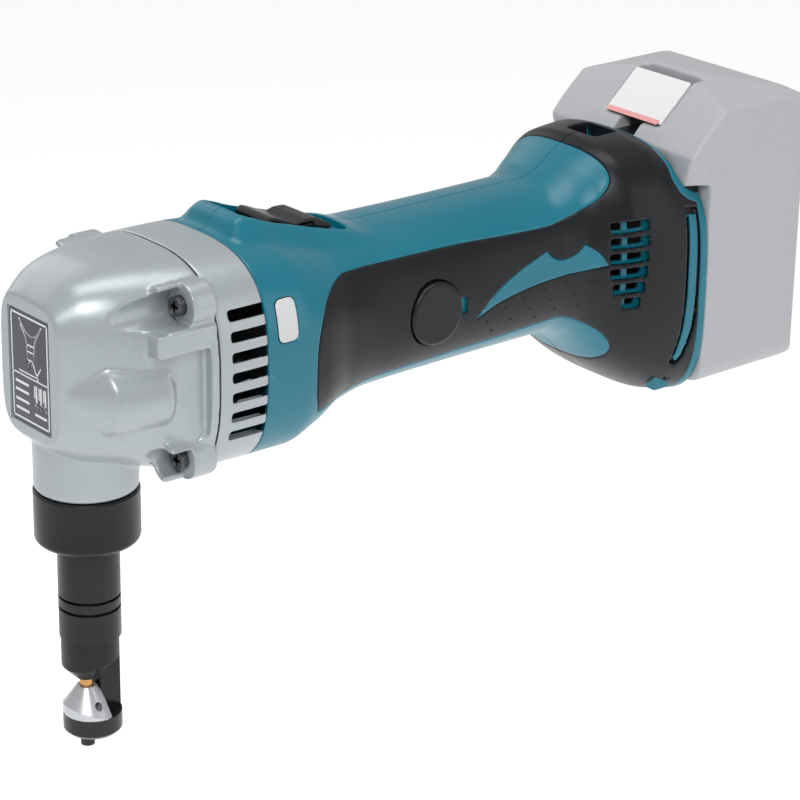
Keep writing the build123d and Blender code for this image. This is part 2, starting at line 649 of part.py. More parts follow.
def make_wires():
    leads = []
    for y, z in ((-12.0, 62.0), (-16.0, 68.0)):
        route = [(178.0, y, 80.0), (186.5, y, 74.0), (200.0, y - 2.0, z), (214.0, y, z - 6.0), (224.6, y, 54.0)]
        leads.append(wire(route, 1.2, 8.0))
    save("leads", *leads)


# ---- battery pack --------------------------------------------------------------------
def pack_outer(inset=0.0):
    profile = side_prism([
        (PACK_FRONT_X + inset, PACK_BOTTOM + inset), (PACK_FRONT_X + inset, 95.8 + inset),
        (231.8 + inset, 95.8 + inset), (231.4 + inset, 107.0), (236.6 + inset, 112.6 - inset * 0.5),
        (252.4, 126.6 - inset * 1.2), (262.0, 127.4 - inset), (284.0 - inset * 0.3, 123.6 - inset),
        (PACK_REAR_X - inset, 118.0 - inset), (PACK_REAR_X - inset, 24.0 + inset * 0.5),
        (288.0 - inset * 0.5, PACK_BOTTOM + inset)], -60, 60)
    width = 2 * (PACK_HALF - inset)
    height = PACK_TOP - PACK_BOTTOM - 2 * inset
    middle = Plane(origin=(220, 0, (PACK_TOP + PACK_BOTTOM) / 2), x_dir=(0, 1, 0), z_dir=(1, 0, 0))
    tall = extrude(middle * RectangleRounded(width, height, 7.0 - inset), 90)
    crown = cyl_x(110.0 - inset, 215, 300, z=PACK_TOP - 110.0)
    plan = extrude(Pos(252, 0, 0) * RectangleRounded(2 * (40.0 - inset), width, 6.5 - inset), 140)
    return profile & tall & plan & crown


def pack_rails():
    """Rail block on the pack's front: wide lips that hook behind the tool's rails."""
    rails = block(230.2, RAIL_X, -28.6, 28.6, 24.0, 100.0)
    rails += block(RAIL_X - 0.1, PACK_FRONT_X + 1.0, -26.2, 26.2, 24.0, 100.0)
    return rails - block(229, 239.0, -13.5, 13.5, 20.0, 64.0)


def button_pocket():
    """Room for the button on the sloping corner and for the tooth below it."""
    hole = side_prism([(234.8, 112.2), (252.0, 127.4), (252.0, 130.0), (258.4, 130.0), (258.4, 121.0),
                       (248.6, 112.2)], -14.4, 14.4)
    return hole + block(229, 250.4, -5.0, 5.0, 103.0, 114.0)


def make_pack():
    shell = pack_outer() - (pack_outer(2.4) & block(244, 300, -60, 60, 0, 140))
    guard = side_prism([(238.0, 101.0), (238.0, 112.0), (250.0, 122.0), (259.8, 125.5), (259.8, 118.4),
                        (251.6, 110.0), (251.6, 101.0)], -16.0, 16.0) & pack_outer(0.5)
    shell += guard + pack_rails()
    shell -= button_pocket()
    lip_zone = block(PACK_SPLIT_X, PACK_SPLIT_X + 2.0, -60, 60, 0, 140)
    lip = (pack_outer(1.2) - pack_outer(2.4)) & lip_zone
    front = largest(shell & block(200, PACK_SPLIT_X, -60, 60, 0, 140))
    rear = largest(shell & block(PACK_SPLIT_X, 300, -60, 60, 0, 140))
    save("pack_front_case", front + lip)
    save("pack_rear_case", rear - (pack_outer(1.1) & lip_zone))


CELL_ROWS = 5
CELL_Z0 = 32.2
CELL_PITCH = 18.5
CELL_COLUMNS = (261.3, 279.9)


def make_cells():
    cells = []
    for x in CELL_COLUMNS:
        for row in range(CELL_ROWS):
            z = CELL_Z0 + row * CELL_PITCH
            cells.append(cyl_y(CELL_R, -CELL_LENGTH / 2, CELL_LENGTH / 2, x, z))
    save("cells", *cells)
    straps = []
    for side in (-1, 1):
        for row in range(CELL_ROWS):
            z = CELL_Z0 + row * CELL_PITCH
            y0, y1 = sorted((side * CELL_LENGTH / 2, side * (CELL_LENGTH / 2 + 0.3)))
            straps.append(block(257.0, 284.2, y0, y1, z - 3.5, z + 3.5))
    save("cell_straps", *straps)
    contacts = [block(244.2, 245.0, y - 0.35, y + 0.35, 30.0, 62.0) for y in (-10, 10)]
    save("pack_board", block(245.0, 246.6, -24.0, 24.0, 26.0, 98.0), *contacts)


SPRING_Z = 110.3


def make_button():
    panel = side_prism([(236.6, 112.7), (252.2, 126.4), (252.2, 121.8), (242.6, 112.7)], -14.0, 14.0)
    panel = fillet(panel.edges().filter_by(Axis.Y).sort_by(Axis.X)[0], 0.6)
    save("pack_button", panel)
    tooth = block(231.0, 246.0, -4.6, 4.6, 104.0, 108.0) + block(241.0, 246.0, -4.6, 4.6, 107.9, 112.7)
    tooth += side_prism([(226.6, 104.0), (231.2, 104.0), (231.2, 108.0)], -4.6, 4.6)
    tooth -= cyl_x(2.1, 241.9, 247.0, z=SPRING_Z)
    save("latch_tooth", tooth)
    save("button_spring", tube_x(1.8, 1.1, 246.3, 250.3, z=SPRING_Z))


def main():
    os.makedirs("parts", exist_ok=True)
    for make in (make_head, make_gears, make_crank, make_rod, make_plunger, make_nose, make_armature,
                 make_motor, make_vent_ring, make_housing, make_fasteners, make_switch, make_rear,
                 make_wires, make_pack, make_cells, make_button):
        make()
    for name, shape in PARTS.items():
        export_step(shape, f"parts/{name}.step")


main()
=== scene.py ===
import math

import bmesh
import bpy
import numpy as np
from mathutils import Matrix, Vector


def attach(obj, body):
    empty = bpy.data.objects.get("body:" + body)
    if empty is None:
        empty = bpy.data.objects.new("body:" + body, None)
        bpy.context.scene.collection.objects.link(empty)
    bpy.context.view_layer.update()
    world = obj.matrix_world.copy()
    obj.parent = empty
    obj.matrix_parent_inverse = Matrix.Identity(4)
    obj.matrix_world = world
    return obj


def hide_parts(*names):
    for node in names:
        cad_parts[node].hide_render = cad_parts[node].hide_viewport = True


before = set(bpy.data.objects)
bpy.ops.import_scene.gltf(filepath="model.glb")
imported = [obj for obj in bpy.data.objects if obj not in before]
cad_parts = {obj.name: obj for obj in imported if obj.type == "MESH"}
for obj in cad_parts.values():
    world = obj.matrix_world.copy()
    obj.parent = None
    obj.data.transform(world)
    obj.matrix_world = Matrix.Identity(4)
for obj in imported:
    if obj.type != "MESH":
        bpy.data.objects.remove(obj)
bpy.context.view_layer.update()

# Sizes and places are in millimetres along the frame's axes, except in the stage, lights and camera.
MM = 0.001
AXIS_Z = 72.0  # height of the motor's and the crank's axis
FAR = 1e3  # value of a field where its area can't lie
SNAP = 0.05  # a corner this close to a contour counts as on it
EDGE_STEP = -0.35  # contour just inside a pocket's rim, where its steep side ends
FLAT_FROM = -0.3  # field value below which a pocket is all floor
SIDE_Y = 20.0  # anything further from the middle than this is on a side


# ======================== small maths
def smoothstep(low, high, x):
    t = np.clip((x - low) / (high - low), 0.0, 1.0)
    return t * t * (3 - 2 * t)


def sd_box(u, v, u0, u1, v0, v1, r):
    """Signed distance to a rounded rectangle, negative inside."""
    du = np.abs(u - (u0 + u1) / 2) - ((u1 - u0) / 2 - r)
    dv = np.abs(v - (v0 + v1) / 2) - ((v1 - v0) / 2 - r)
    outside = np.hypot(np.maximum(du, 0), np.maximum(dv, 0))
    return outside + np.minimum(np.maximum(du, dv), 0) - r


def sd_polygon(u, v, points):
    """Signed distance to a closed polygon, negative inside."""
    p = np.array(points, float)
    q = np.roll(p, -1, axis=0)
    best = np.full(u.shape, 1e9)
    inside = np.zeros(u.shape, bool)
    for (ax, ay), (bx, by) in zip(p, q):
        ex, ey = bx - ax, by - ay
        t = np.clip(((u - ax) * ex + (v - ay) * ey) / (ex * ex + ey * ey), 0, 1)
        best = np.minimum(best, np.hypot(u - ax - t * ex, v - ay - t * ey))
        crosses = ((ay > v) != (by > v)) & (u < ex * (v - ay) / (ey if ey else 1e-9) + ax)
        inside ^= crosses
    return np.where(inside, -best, best)


def slopes(xs, ys):
    """Tangents of a monotone cubic through the points."""
    h = np.diff(xs)
    d = np.diff(ys) / h
    m = np.zeros(len(xs))
    m[0], m[-1] = d[0], d[-1]
    for i in range(1, len(xs) - 1):
        if d[i - 1] * d[i] > 0:
            w1, w2 = 2 * h[i] + h[i - 1], h[i] + 2 * h[i - 1]
            m[i] = (w1 + w2) / (w1 / d[i - 1] + w2 / d[i])
    return m


def smooth_line(xs, ys, x):
    """Monotone cubic interpolation of ys over xs."""
    xs, ys, x = np.asarray(xs, float), np.asarray(ys, float), np.asarray(x, float)
    m = slopes(xs, ys)
    i = np.clip(np.searchsorted(xs, x) - 1, 0, len(xs) - 2)
    h = xs[i + 1] - xs[i]
    t = np.clip((x - xs[i]) / h, 0, 1)
    a, b = (1 + 2 * t) * (1 - t) ** 2, t * t * (3 - 2 * t)
    c, d = t * (1 - t) ** 2, t * t * (t - 1)
    return a * ys[i] + b * ys[i + 1] + h * (c * m[i] + d * m[i + 1])


def spline(points, n=12):
    """Open Catmull-Rom curve through the points."""
    p = [np.array(q, float) for q in points]
    p = [2 * p[0] - p[1]] + p + [2 * p[-1] - p[-2]]
    out = []
    for i in range(1, len(p) - 2):
        for k in range(n):
            t = k / n
            out.append(0.5 * ((2 * p[i]) + (p[i + 1] - p[i - 1]) * t
                              + (2 * p[i - 1] - 5 * p[i] + 4 * p[i + 1] - p[i + 2]) * t * t
                              + (3 * p[i] - p[i - 1] - 3 * p[i + 1] + p[i + 2]) * t ** 3))
    out.append(p[-2])
    return [tuple(q) for q in out]


# ======================== skins: meshes cut along fields
class Skin:
    """A triangle mesh in millimetres that can be cut exactly along the contours of a field."""

    def __init__(self, base, tris, normals=None, pos=None):
        self.base = base
        self.tris = tris
        self.normals = vertex_normals(base, tris) if normals is None else normals
        self.pos = base.copy() if pos is None else pos

    def values(self, field):
        return field(self.base[:, 0], self.base[:, 1], self.base[:, 2])

    def cut(self, field, level=0.0):
        """Adds the contour where field equals level as mesh edges."""
        f = self.values(field) - level
        f[np.abs(f) < SNAP] = 0.0
        sign = np.sign(f)
        st = sign[self.tris]
        cross = (st.min(1) < 0) & (st.max(1) > 0)
        if not cross.any():
            return self
        todo = self.tris[cross]
        keep = self.tris[~cross]
        ts = sign[todo]
        zero = (ts == 0).any(1)
        lone = np.where(zero, np.argmin(np.abs(ts), 1), 0)
        total = ts.sum(1)
        odd = np.where(ts == -np.sign(total)[:, None], 1, 0).argmax(1)
        lone = np.where(zero, lone, odd)
        order = (lone[:, None] + np.arange(3)[None, :]) % 3
        a, b, c = (np.take_along_axis(todo, order, 1)[:, k] for k in range(3))
        n0 = len(self.base)
        # edges to split: b-c where a lies on the contour, a-b and a-c elsewhere
        e1 = np.where(zero[:, None], np.stack([b, c], 1), np.stack([a, b], 1))
        e2 = np.stack([a, c], 1)[~zero]
        edges = np.sort(np.concatenate([e1, e2]), 1)
        unique, inverse = np.unique(edges, axis=0, return_inverse=True)
        inverse = inverse.reshape(-1)
        i, j = unique[:, 0], unique[:, 1]
        w = (f[i] / (f[i] - f[j]))[:, None]
        for name in ("base", "pos", "normals"):
            old = getattr(self, name)
            setattr(self, name, np.concatenate([old, old[i] * (1 - w) + old[j] * w]))
        m1 = inverse[:len(e1)] + n0
        m2 = np.zeros(len(todo), int)
        m2[~zero] = inverse[len(e1):] + n0
        z, q = zero, ~zero
        new = [np.stack([a[z], b[z], m1[z]], 1), np.stack([a[z], m1[z], c[z]], 1),
               np.stack([a[q], m1[q], m2[q]], 1), np.stack([m1[q], b[q], c[q]], 1),
               np.stack([m1[q], c[q], m2[q]], 1)]
        self.tris = np.concatenate([keep] + new)
        return self

    def centres(self):
        return self.base[self.tris].mean(1)

    def part(self, chosen):
        """The triangles chosen, as a skin of their own."""
        tris = self.tris[chosen]
        used = np.unique(tris)
        index = np.full(len(self.base), -1)
        index[used] = np.arange(len(used))
        return Skin(self.base[used], index[tris], self.normals[used], self.pos[used])

    def split(self, field, level=0.0):
        """The two sides of a contour, inside first."""
        self.cut(field, level)
        c = self.centres()
        inside = field(c[:, 0], c[:, 1], c[:, 2]) < level
        return self.part(inside), self.part(~inside)

    def bevel(self, field, steps, depth):
        """Contours at each step, then the surface pushed along its normals by depth(field)."""
        for level in steps:
            self.cut(field, level)
        self.push(depth(self.values(field)))
        return self

    def push(self, amount):
        """Moves the surface along its normals."""
        n = self.normals / np.maximum(np.linalg.norm(self.normals, axis=1)[:, None], 1e-9)
        self.pos = self.pos + n * amount[:, None]
        return self

    def without(self, field):
        """The triangles outside an area whose contour is already cut."""
        return self.part(field(*self.centres().T) > 0)

    def flatten(self, area, height):
        """Lays the skin inside an area's rim flat at a height."""
        self.pos[:, 2] = np.where(self.values(area) < FLAT_FROM, height, self.pos[:, 2])


def dipped(width, depth):
    """Depth profile that draws a skin down beside an edge, over a width."""
    return lambda f: np.where(f < width, -depth * (1 - smoothstep(0, width, f)), 0.0)


def rounded(width, depth):
    """Depth profile that rounds an edge over a width."""
    def profile(f):
        rest = 1 - np.clip(f / width, 0, 1)
        arc = np.sqrt(np.clip(1 - rest ** 2, 0, 1))
        return np.where(f >= 0, -depth * (1 - arc), -depth)
    return profile


def vertex_normals(v, tris):
    p = v[tris]
    n = np.cross(p[:, 1] - p[:, 0], p[:, 2] - p[:, 0])
    out = np.zeros_like(v)
    for k in range(3):
        np.add.at(out, tris[:, k], n)
    return out / np.maximum(np.linalg.norm(out, axis=1)[:, None], 1e-12)


def grid_tris(rows, columns):
    """Triangles of a grid whose columns run round a ring."""
    r, c = np.meshgrid(np.arange(rows - 1), np.arange(columns), indexing="ij")
    c1 = (c + 1) % columns
    a, b = r * columns + c, r * columns + c1
    d, e = (r + 1) * columns + c, (r + 1) * columns + c1
    a, b, d, e = (q.ravel() for q in (a, b, d, e))
    return np.concatenate([np.stack([a, d, b], 1), np.stack([b, d, e], 1)])


# ======================== body sections
# x, half width, top, bottom, exponent above and below the widest line
BODY = np.array([
    (-20.0, 16.2, 99.5, 53.0, 4.5, 4.5), (-17.0, 18.5, 102.0, 50.5, 4.0, 4.0),
    (-10.0, 23.5, 106.5, 46.0, 3.4, 3.4), (0.0, 28.5, 109.0, 43.0, 3.1, 3.1),
    (10.0, 31.6, 109.8, 40.0, 3.0, 3.0), (26.5, 37.4, 109.6, 35.5, 2.9, 2.9),
    (45.0, 37.9, 109.2, 35.0, 2.9, 2.9), (60.0, 37.8, 107.5, 35.0, 2.9, 2.9),
    (70.0, 36.5, 104.5, 38.0, 2.8, 2.8), (85.0, 32.0, 101.5, 42.5, 2.5, 2.5),
    (100.0, 30.0, 100.5, 44.5, 2.35, 2.4), (120.0, 29.5, 100.0, 45.0, 2.25, 2.4),
    (150.0, 28.5, 99.5, 45.0, 2.2, 2.4), (180.0, 28.5, 99.6, 45.0, 2.25, 2.4),
    (190.0, 29.4, 102.0, 42.6, 2.4, 2.45), (198.0, 31.3, 107.2, 37.5, 2.6, 2.6),
    (208.0, 35.0, 112.0, 28.0, 2.9, 2.9), (220.0, 37.0, 112.2, 19.5, 3.1, 3.2),
    (229.0, 37.7, 110.0, 15.0, 3.2, 3.4), (241.0, 38.0, 102.0, 12.6, 3.2, 3.6)])


def body_at(x, inset=0.0):
    """Half width, top, bottom and both exponents of the body's section at x."""
    w, t, b, nt, nb = (smooth_line(BODY[:, 0], BODY[:, k], x) for k in range(1, 6))
    return w - inset, t - inset, b + inset, nt, nb


def section(x, count, inset=0.0):
    """Evenly spaced points round the body, starting at the top and going towards +Y."""
    w, t, b, nt, nb = body_at(x, inset)
    a = np.linspace(0, 2 * np.pi, 1441)
    s, c = np.sin(a), np.cos(a)
    n = np.where(c >= 0, nt, nb)
    zc, h = (t + b) / 2, (t - b) / 2
    y = w * np.sign(s) * np.abs(s) ** (2 / n)
    z = zc + h * np.sign(c) * np.abs(c) ** (2 / n)
    length = np.concatenate([[0], np.cumsum(np.hypot(np.diff(y), np.diff(z)))])
    at = np.linspace(0, length[-1], count + 1)[:-1]
    return np.stack([np.full(count, x), np.interp(at, length, y), np.interp(at, length, z)], 1)


def body_skin(x0, x1, step, count, inset=0.0):
    xs = np.linspace(x0, x1, max(2, int(round((x1 - x0) / step)) + 1))
    return Skin(np.concatenate([section(x, count, inset) for x in xs]), grid_tris(len(xs), count))


def body_side(x, z):
    """Half width of the body at a point of its side view."""
    w, t, b, nt, nb = body_at(x)
    zc, h = (t + b) / 2, (t - b) / 2
    n = np.where(np.asarray(z) >= zc, nt, nb)
    u = np.clip(np.abs((z - zc) / h), 0, 1)
    return w * (1 - u ** n) ** (1 / n)


# ======================== Blender objects
def link(name, data):
    o = bpy.data.objects.new(name, data)
    bpy.context.scene.collection.objects.link(o)
    return o


def mesh_object(name, verts, faces, angle=32):
    """Object from millimetre points."""
    me = bpy.data.meshes.new(name)
    corners = [tuple(p) for p in np.asarray(verts, float) * MM]
    me.from_pydata(corners, [], faces.tolist() if isinstance(faces, np.ndarray) else faces)
    me.validate()
    me.update()
    shade(me, angle)
    return link(name, me)


def shade(me, angle=32):
    """Smooth shading, sharp at edges steeper than an angle in degrees."""
    me.polygons.foreach_set("use_smooth", [True] * len(me.polygons))
    me.set_sharp_from_angle(angle=math.radians(angle))
    me.update()


def bake(o, angle=32):
    """Applies an object's modifiers."""
    bpy.context.view_layer.update()
    dg = bpy.context.evaluated_depsgraph_get()
    me = bpy.data.meshes.new_from_object(o.evaluated_get(dg))
    o.modifiers.clear()
    o.data = me
    shade(me, angle)
    return o


def skin_object(name, skin, thickness, angle=36):
    """Object with a wall of the given thickness inside a skin."""
    o = mesh_object(name, skin.pos, skin.tris, angle)
    m = o.modifiers.new("wall", "SOLIDIFY")
    m.thickness, m.offset = thickness * MM, -1.0
    m.use_even_offset = False
    return bake(o, angle)


def dress(o, look, body, replaces=()):
    """Material, body and replaced nodes of a new piece."""
    o.data.materials.clear()
    o.data.materials.append(look)
    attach(o, body)
    if replaces:
        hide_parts(*replaces)
    return o


def remesh(o, voxel, smooth, angle=32):
    """Rebuilds an object in voxels of a size, then smooths it a number of times."""
    m = o.modifiers.new("voxel", "REMESH")
    m.mode, m.voxel_size = "VOXEL", voxel * MM
    s = o.modifiers.new("soft", "SMOOTH")
    s.factor, s.iterations = 0.5, smooth
    return bake(o, angle)


BOOLEAN_TRIES = 5
BOOLEAN_NUDGE = Vector((0.031, 0.017, 0.023)) * MM
LEAST_KEPT = 0.6  # a cut that leaves a smaller share of the faces has fallen apart


def boolean(o, cutters, angle=32):
    """Cuts each cutter away in turn, nudged and tried again where the result falls apart."""
    for cutter in cutters:
        whole = o.data.copy()
        for _ in range(BOOLEAN_TRIES):
            m = o.modifiers.new("cut", "BOOLEAN")
            m.operation, m.solver, m.object = "DIFFERENCE", "EXACT", cutter
            bake(o, angle)
            if len(o.data.polygons) > LEAST_KEPT * len(whole.polygons):
                break
            o.data = whole.copy()
            cutter.location += BOOLEAN_NUDGE
        bpy.data.meshes.remove(whole)
        bpy.data.objects.remove(cutter)
    return o


def joined(name, objects):
    """One object from several meshes."""
    bm = bmesh.new()
    for o in objects:
        me = o.data.copy()
        me.transform(o.matrix_world)
        bm.from_mesh(me)
        bpy.data.meshes.remove(me)
    for o in objects:
        bpy.data.objects.remove(o)
    me = bpy.data.meshes.new(name)
    bm.to_mesh(me)
    bm.free()
    return link(name, me)


def tidy_normals(o, biggest=4):
    """Splits polygons with more corners than biggest and turns all faces outwards."""
    bm = bmesh.new()
    bm.from_mesh(o.data)
    bmesh.ops.triangulate(bm, faces=[f for f in bm.faces if len(f.verts) > biggest])
    bmesh.ops.recalc_face_normals(bm, faces=bm.faces)
    bm.to_mesh(o.data)
    bm.free()
    return o


def solid_loft(name, sections):
    """Closed mesh through rings of points, ends capped."""
    count = len(sections[0])
    verts = np.concatenate(sections)
    tris = grid_tris(len(sections), count)
    ends = np.array([sections[0].mean(0), sections[-1].mean(0)])
    first, last = len(verts), len(verts) + 1
    k = np.arange(count)
    k1 = (k + 1) % count
    base = (len(sections) - 1) * count
    front = np.stack([np.full(count, first), k, k1], 1)
    back = np.stack([np.full(count, last), base + k1, base + k], 1)
    verts, tris = np.concatenate([verts, ends]), np.concatenate([tris, front, back])
    return tidy_normals(mesh_object(name, verts, tris))


# two directions across an axis and one along it
AXES = {"x": ((0, 1, 0), (0, 0, 1), (1, 0, 0)), "z": ((1, 0, 0), (0, 1, 0), (0, 0, 1))}


def disc(centre, axis, radius, count=72):
    """Ring of points round a centre."""
    a = np.linspace(0, 2 * np.pi, count, endpoint=False)[:, None]
    u, v, _ = AXES[axis]
    return np.array(centre)[None] + radius * (np.cos(a) * np.array(u) + np.sin(a) * np.array(v))


def turned(name, axis, centre, profile, count=96):
    """Body of revolution about an axis; profile is (distance along it, radius)."""
    along = np.array(AXES[axis][2], float)
    return solid_loft(name, [disc(np.array(centre, float) + along * s, axis, r, count) for s, r in profile])


def sided(side, near, far):
    """Bounds across the body, low first, of a span beyond the middle on one side."""
    return sorted((side * near, side * far))


def box(name, x0, x1, y0, y1, z0, z1):
    verts = [(x, y, z) for x in (x0, x1) for y in (y0, y1) for z in (z0, z1)]
    faces = [(0, 1, 3, 2), (4, 6, 7, 5), (0, 4, 5, 1), (2, 3, 7, 6), (0, 2, 6, 4), (1, 5, 7, 3)]
    return tidy_normals(mesh_object(name, verts, faces), 3)


def prism_y(name, points, y0, y1):
    """Closed prism along Y over an XZ outline."""
    a = np.array([(x, y0, z) for x, z in points])
    b = np.array([(x, y1, z) for x, z in points])
    n = len(points)
    faces = [tuple(range(n)), tuple(range(2 * n - 1, n - 1, -1))]
    faces += [(k, k + n, (k + 1) % n + n, (k + 1) % n) for k in range(n)]
    return tidy_normals(mesh_object(name, np.concatenate([a, b]), faces))


def copy_node(node, name):
    """A new object with a CAD node's mesh, its duplicate corner points merged."""
    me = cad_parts[node].data.copy()
    bm = bmesh.new()
    bm.from_mesh(me)
    bmesh.ops.remove_doubles(bm, verts=bm.verts, dist=1e-6)
    bm.to_mesh(me)
    bm.free()
    me.materials.clear()
    me.name = name
    return link(name, me)


def softened(node, name, voxel, smooth):
    """A CAD node's shape with its edges rounded."""
    return remesh(copy_node(node, name), voxel, smooth, angle=40)


# ======================== materials
def srgb(r, g, b):
    """Linear colour from 0-255 display values."""
    out = []
    for v in (r, g, b):
        c = v / 255
        out.append(c / 12.92 if c <= 0.04045 else ((c + 0.055) / 1.055) ** 2.4)
    return tuple(out)


def scaled(colour, k):
    return tuple(min(1.0, c * k) for c in colour)


# colour sockets of the mix node
MIX_A, MIX_B, MIX_OUT = 6, 7, 2
RELIEF = 0.00008  # height of the fine relief, in metres
SPECK = 0.35  # share of the fine speckle in the colour


def noise(nodes, links, place, scale, detail, roughness=0.5):
    n = nodes.new("ShaderNodeTexNoise")
    n.inputs["Scale"].default_value = scale
    n.inputs["Detail"].default_value = detail
    n.inputs["Roughness"].default_value = roughness
    links.new(place, n.inputs["Vector"])
    return n.outputs["Fac"]


def colour_ramp(nodes, links, value, places, colours):
    n = nodes.new("ShaderNodeValToRGB")
    for element, place, colour in zip(n.color_ramp.elements, places, colours):
        element.position, element.color = place, (*colour, 1)
    links.new(value, n.inputs[0])
    return n.outputs[0]


def multiplied(nodes, links, a, b):
    """Product of an output and either another output or a number."""
    n = nodes.new("ShaderNodeMath")
    n.operation = "MULTIPLY"
    links.new(a, n.inputs[0])
    if isinstance(b, float):
        n.inputs[1].default_value = b
    else:
        links.new(b, n.inputs[1])
    return n.outputs[0]


def mixed(nodes, links, a, b, blend="MIX"):
    """Colour mix of a with b; its factor is still to be set."""
    n = nodes.new("ShaderNodeMix")
    n.data_type, n.blend_type = "RGBA", blend
    links.new(a, n.inputs[MIX_A])
    if isinstance(b, tuple):
        n.inputs[MIX_B].default_value = (*b, 1)
    else:
        links.new(b, n.inputs[MIX_B])
    return n


def material(name, colour, rough=0.45, metallic=0.0, vary=0.08, patch=22.0, grain=900.0, bump=0.06,
             wear=0.0, wear_colour=None, edge=0.0003, specular=0.5, coat=0.0, rough_vary=0.08, stretch=None):
    """Principled surface with drifting colour, fine relief, brighter worn edges and softened corners."""
    m = bpy.data.materials.new(name)
    m.use_nodes = True
    nodes, links = m.node_tree.nodes, m.node_tree.links
    nodes.clear()
    out = nodes.new("ShaderNodeOutputMaterial")
    surface = nodes.new("ShaderNodeBsdfPrincipled")
    links.new(surface.outputs[0], out.inputs[0])
    surface.inputs["Metallic"].default_value = metallic
    surface.inputs["Specular IOR Level"].default_value = specular
    surface.inputs["Coat Weight"].default_value = coat
    surface.inputs["Coat Roughness"].default_value = 0.25
    # colour: slow drift, fine speckle and rubbed edges
    place = nodes.new("ShaderNodeTexCoord").outputs["Object"]
    stretched = nodes.new("ShaderNodeMapping")
    links.new(place, stretched.inputs["Vector"])
    if stretch:
        stretched.inputs["Scale"].default_value = stretch
    drift = noise(nodes, links, place, patch, 5.0)
    fine = noise(nodes, links, stretched.outputs[0], grain, 3.0, 0.6)
    shades = scaled(colour, 1 - vary), scaled(colour, 1 + vary)
    base = colour_ramp(nodes, links, drift, (0.3, 0.7), shades)
    tone = colour_ramp(nodes, links, fine, (0.35, 0.6), ((0.8, 0.8, 0.8), (1, 1, 1)))
    speck = mixed(nodes, links, base, tone, "MULTIPLY")
    speck.inputs[0].default_value = SPECK
    shown = speck.outputs[MIX_OUT]
    if wear > 0:
        pointed = nodes.new("ShaderNodeNewGeometry").outputs["Pointiness"]
        edges = colour_ramp(nodes, links, pointed, (0.53, 0.62), ((0, 0, 0), (1, 1, 1)))
        broken = multiplied(nodes, links, edges, drift)
        rub = mixed(nodes, links, shown, wear_colour)
        links.new(multiplied(nodes, links, broken, wear * 1.6), rub.inputs[0])
        shown = rub.outputs[MIX_OUT]
    links.new(shown, surface.inputs["Base Color"])
    # roughness follows the drift
    gloss = nodes.new("ShaderNodeMapRange")
    gloss.inputs["From Min"].default_value, gloss.inputs["From Max"].default_value = 0.3, 0.7
    gloss.inputs["To Min"].default_value = max(0.03, rough - rough_vary)
    gloss.inputs["To Max"].default_value = min(1.0, rough + rough_vary)
    links.new(drift, gloss.inputs["Value"])
    links.new(gloss.outputs[0], surface.inputs["Roughness"])
    # fine relief, over corners rounded by a small radius
    relief = nodes.new("ShaderNodeBump")
    relief.inputs["Strength"].default_value = bump
    relief.inputs["Distance"].default_value = RELIEF
    links.new(fine, relief.inputs["Height"])
    if edge > 0:
        corner = nodes.new("ShaderNodeBevel")
        corner.samples = 4
        corner.inputs["Radius"].default_value = edge
        links.new(corner.outputs[0], relief.inputs["Normal"])
    links.new(relief.outputs[0], surface.inputs["Normal"])
    return m


SILVER = material("cast_silver_paint", srgb(166, 173, 176), rough=0.34, metallic=0.35, vary=0.025,
                  patch=14, grain=1500, bump=0.10, wear=0.12, wear_colour=srgb(225, 228, 230), edge=0.0,
                  coat=0.12, rough_vary=0.02)
TEAL = material("teal_plastic", srgb(0, 108, 128), rough=0.30, vary=0.04, patch=16, grain=2200, bump=0.10,
                wear=0.22, wear_colour=srgb(70, 165, 185), edge=0.0)
BLACK = material("black_overmould", srgb(15, 18, 22), rough=0.34, vary=0.10, patch=18, grain=2600,
                 bump=0.14, wear=0.12, wear_colour=srgb(62, 65, 71), edge=0.0, specular=0.3)
BLACK_HARD = material("black_moulding", srgb(13, 15, 18), rough=0.32, vary=0.10, patch=30, grain=2400,
                      bump=0.10, wear=0.15, wear_colour=srgb(60, 62, 68), specular=0.35)
PALE = material("pale_insert", srgb(200, 202, 202), rough=0.33, vary=0.03, grain=1800)
SLATE = material("printed_plate", srgb(78, 80, 86), rough=0.42, metallic=0.3, vary=0.06, grain=2500,
                 bump=0.08, edge=0.0)
INK = material("plate_lines", srgb(222, 223, 225), vary=0.04, grain=2500, bump=0.05, edge=0.0)
OXIDE = material("black_oxide_steel", srgb(17, 17, 20), rough=0.34, metallic=0.2, vary=0.12, patch=45,
                 wear=0.3, wear_colour=srgb(70, 70, 74), specular=0.4)
GROUND = material("ground_tool_steel", srgb(196, 198, 201), rough=0.36, metallic=0.6, vary=0.05, patch=60,
                  grain=500, bump=0.10, edge=0.0002, stretch=(1, 1, 9))
GOLD = material("coated_punch", srgb(200, 152, 98), rough=0.27, metallic=0.9, patch=120, grain=500,
                bump=0.12, edge=0.0002, stretch=(6, 6, 1))
STEEL = material("machined_steel", srgb(172, 174, 178), rough=0.30, metallic=0.95, vary=0.07, patch=70,
                 grain=420, bump=0.12, edge=0.0002, stretch=(9, 1, 1))
SCREW = material("black_zinc_screw", srgb(40, 40, 44), rough=0.26, metallic=0.75, vary=0.16, patch=200,
                 bump=0.12, wear=0.5, wear_colour=srgb(130, 130, 132))
BRONZE = material("sintered_bronze", srgb(176, 132, 76), rough=0.42, metallic=0.85, vary=0.12, patch=150,
                  grain=3000, bump=0.25, edge=0.0002)
SEAL = material("nitrile_seal", srgb(28, 28, 30), rough=0.6, vary=0.12, grain=2500, bump=0.2, edge=0.0002)
COPPER = material("enamelled_copper", srgb(172, 88, 44), rough=0.28, metallic=0.8, vary=0.16, patch=90,
                  grain=1500, bump=0.3, edge=0.0002, stretch=(1, 12, 12), coat=0.3)
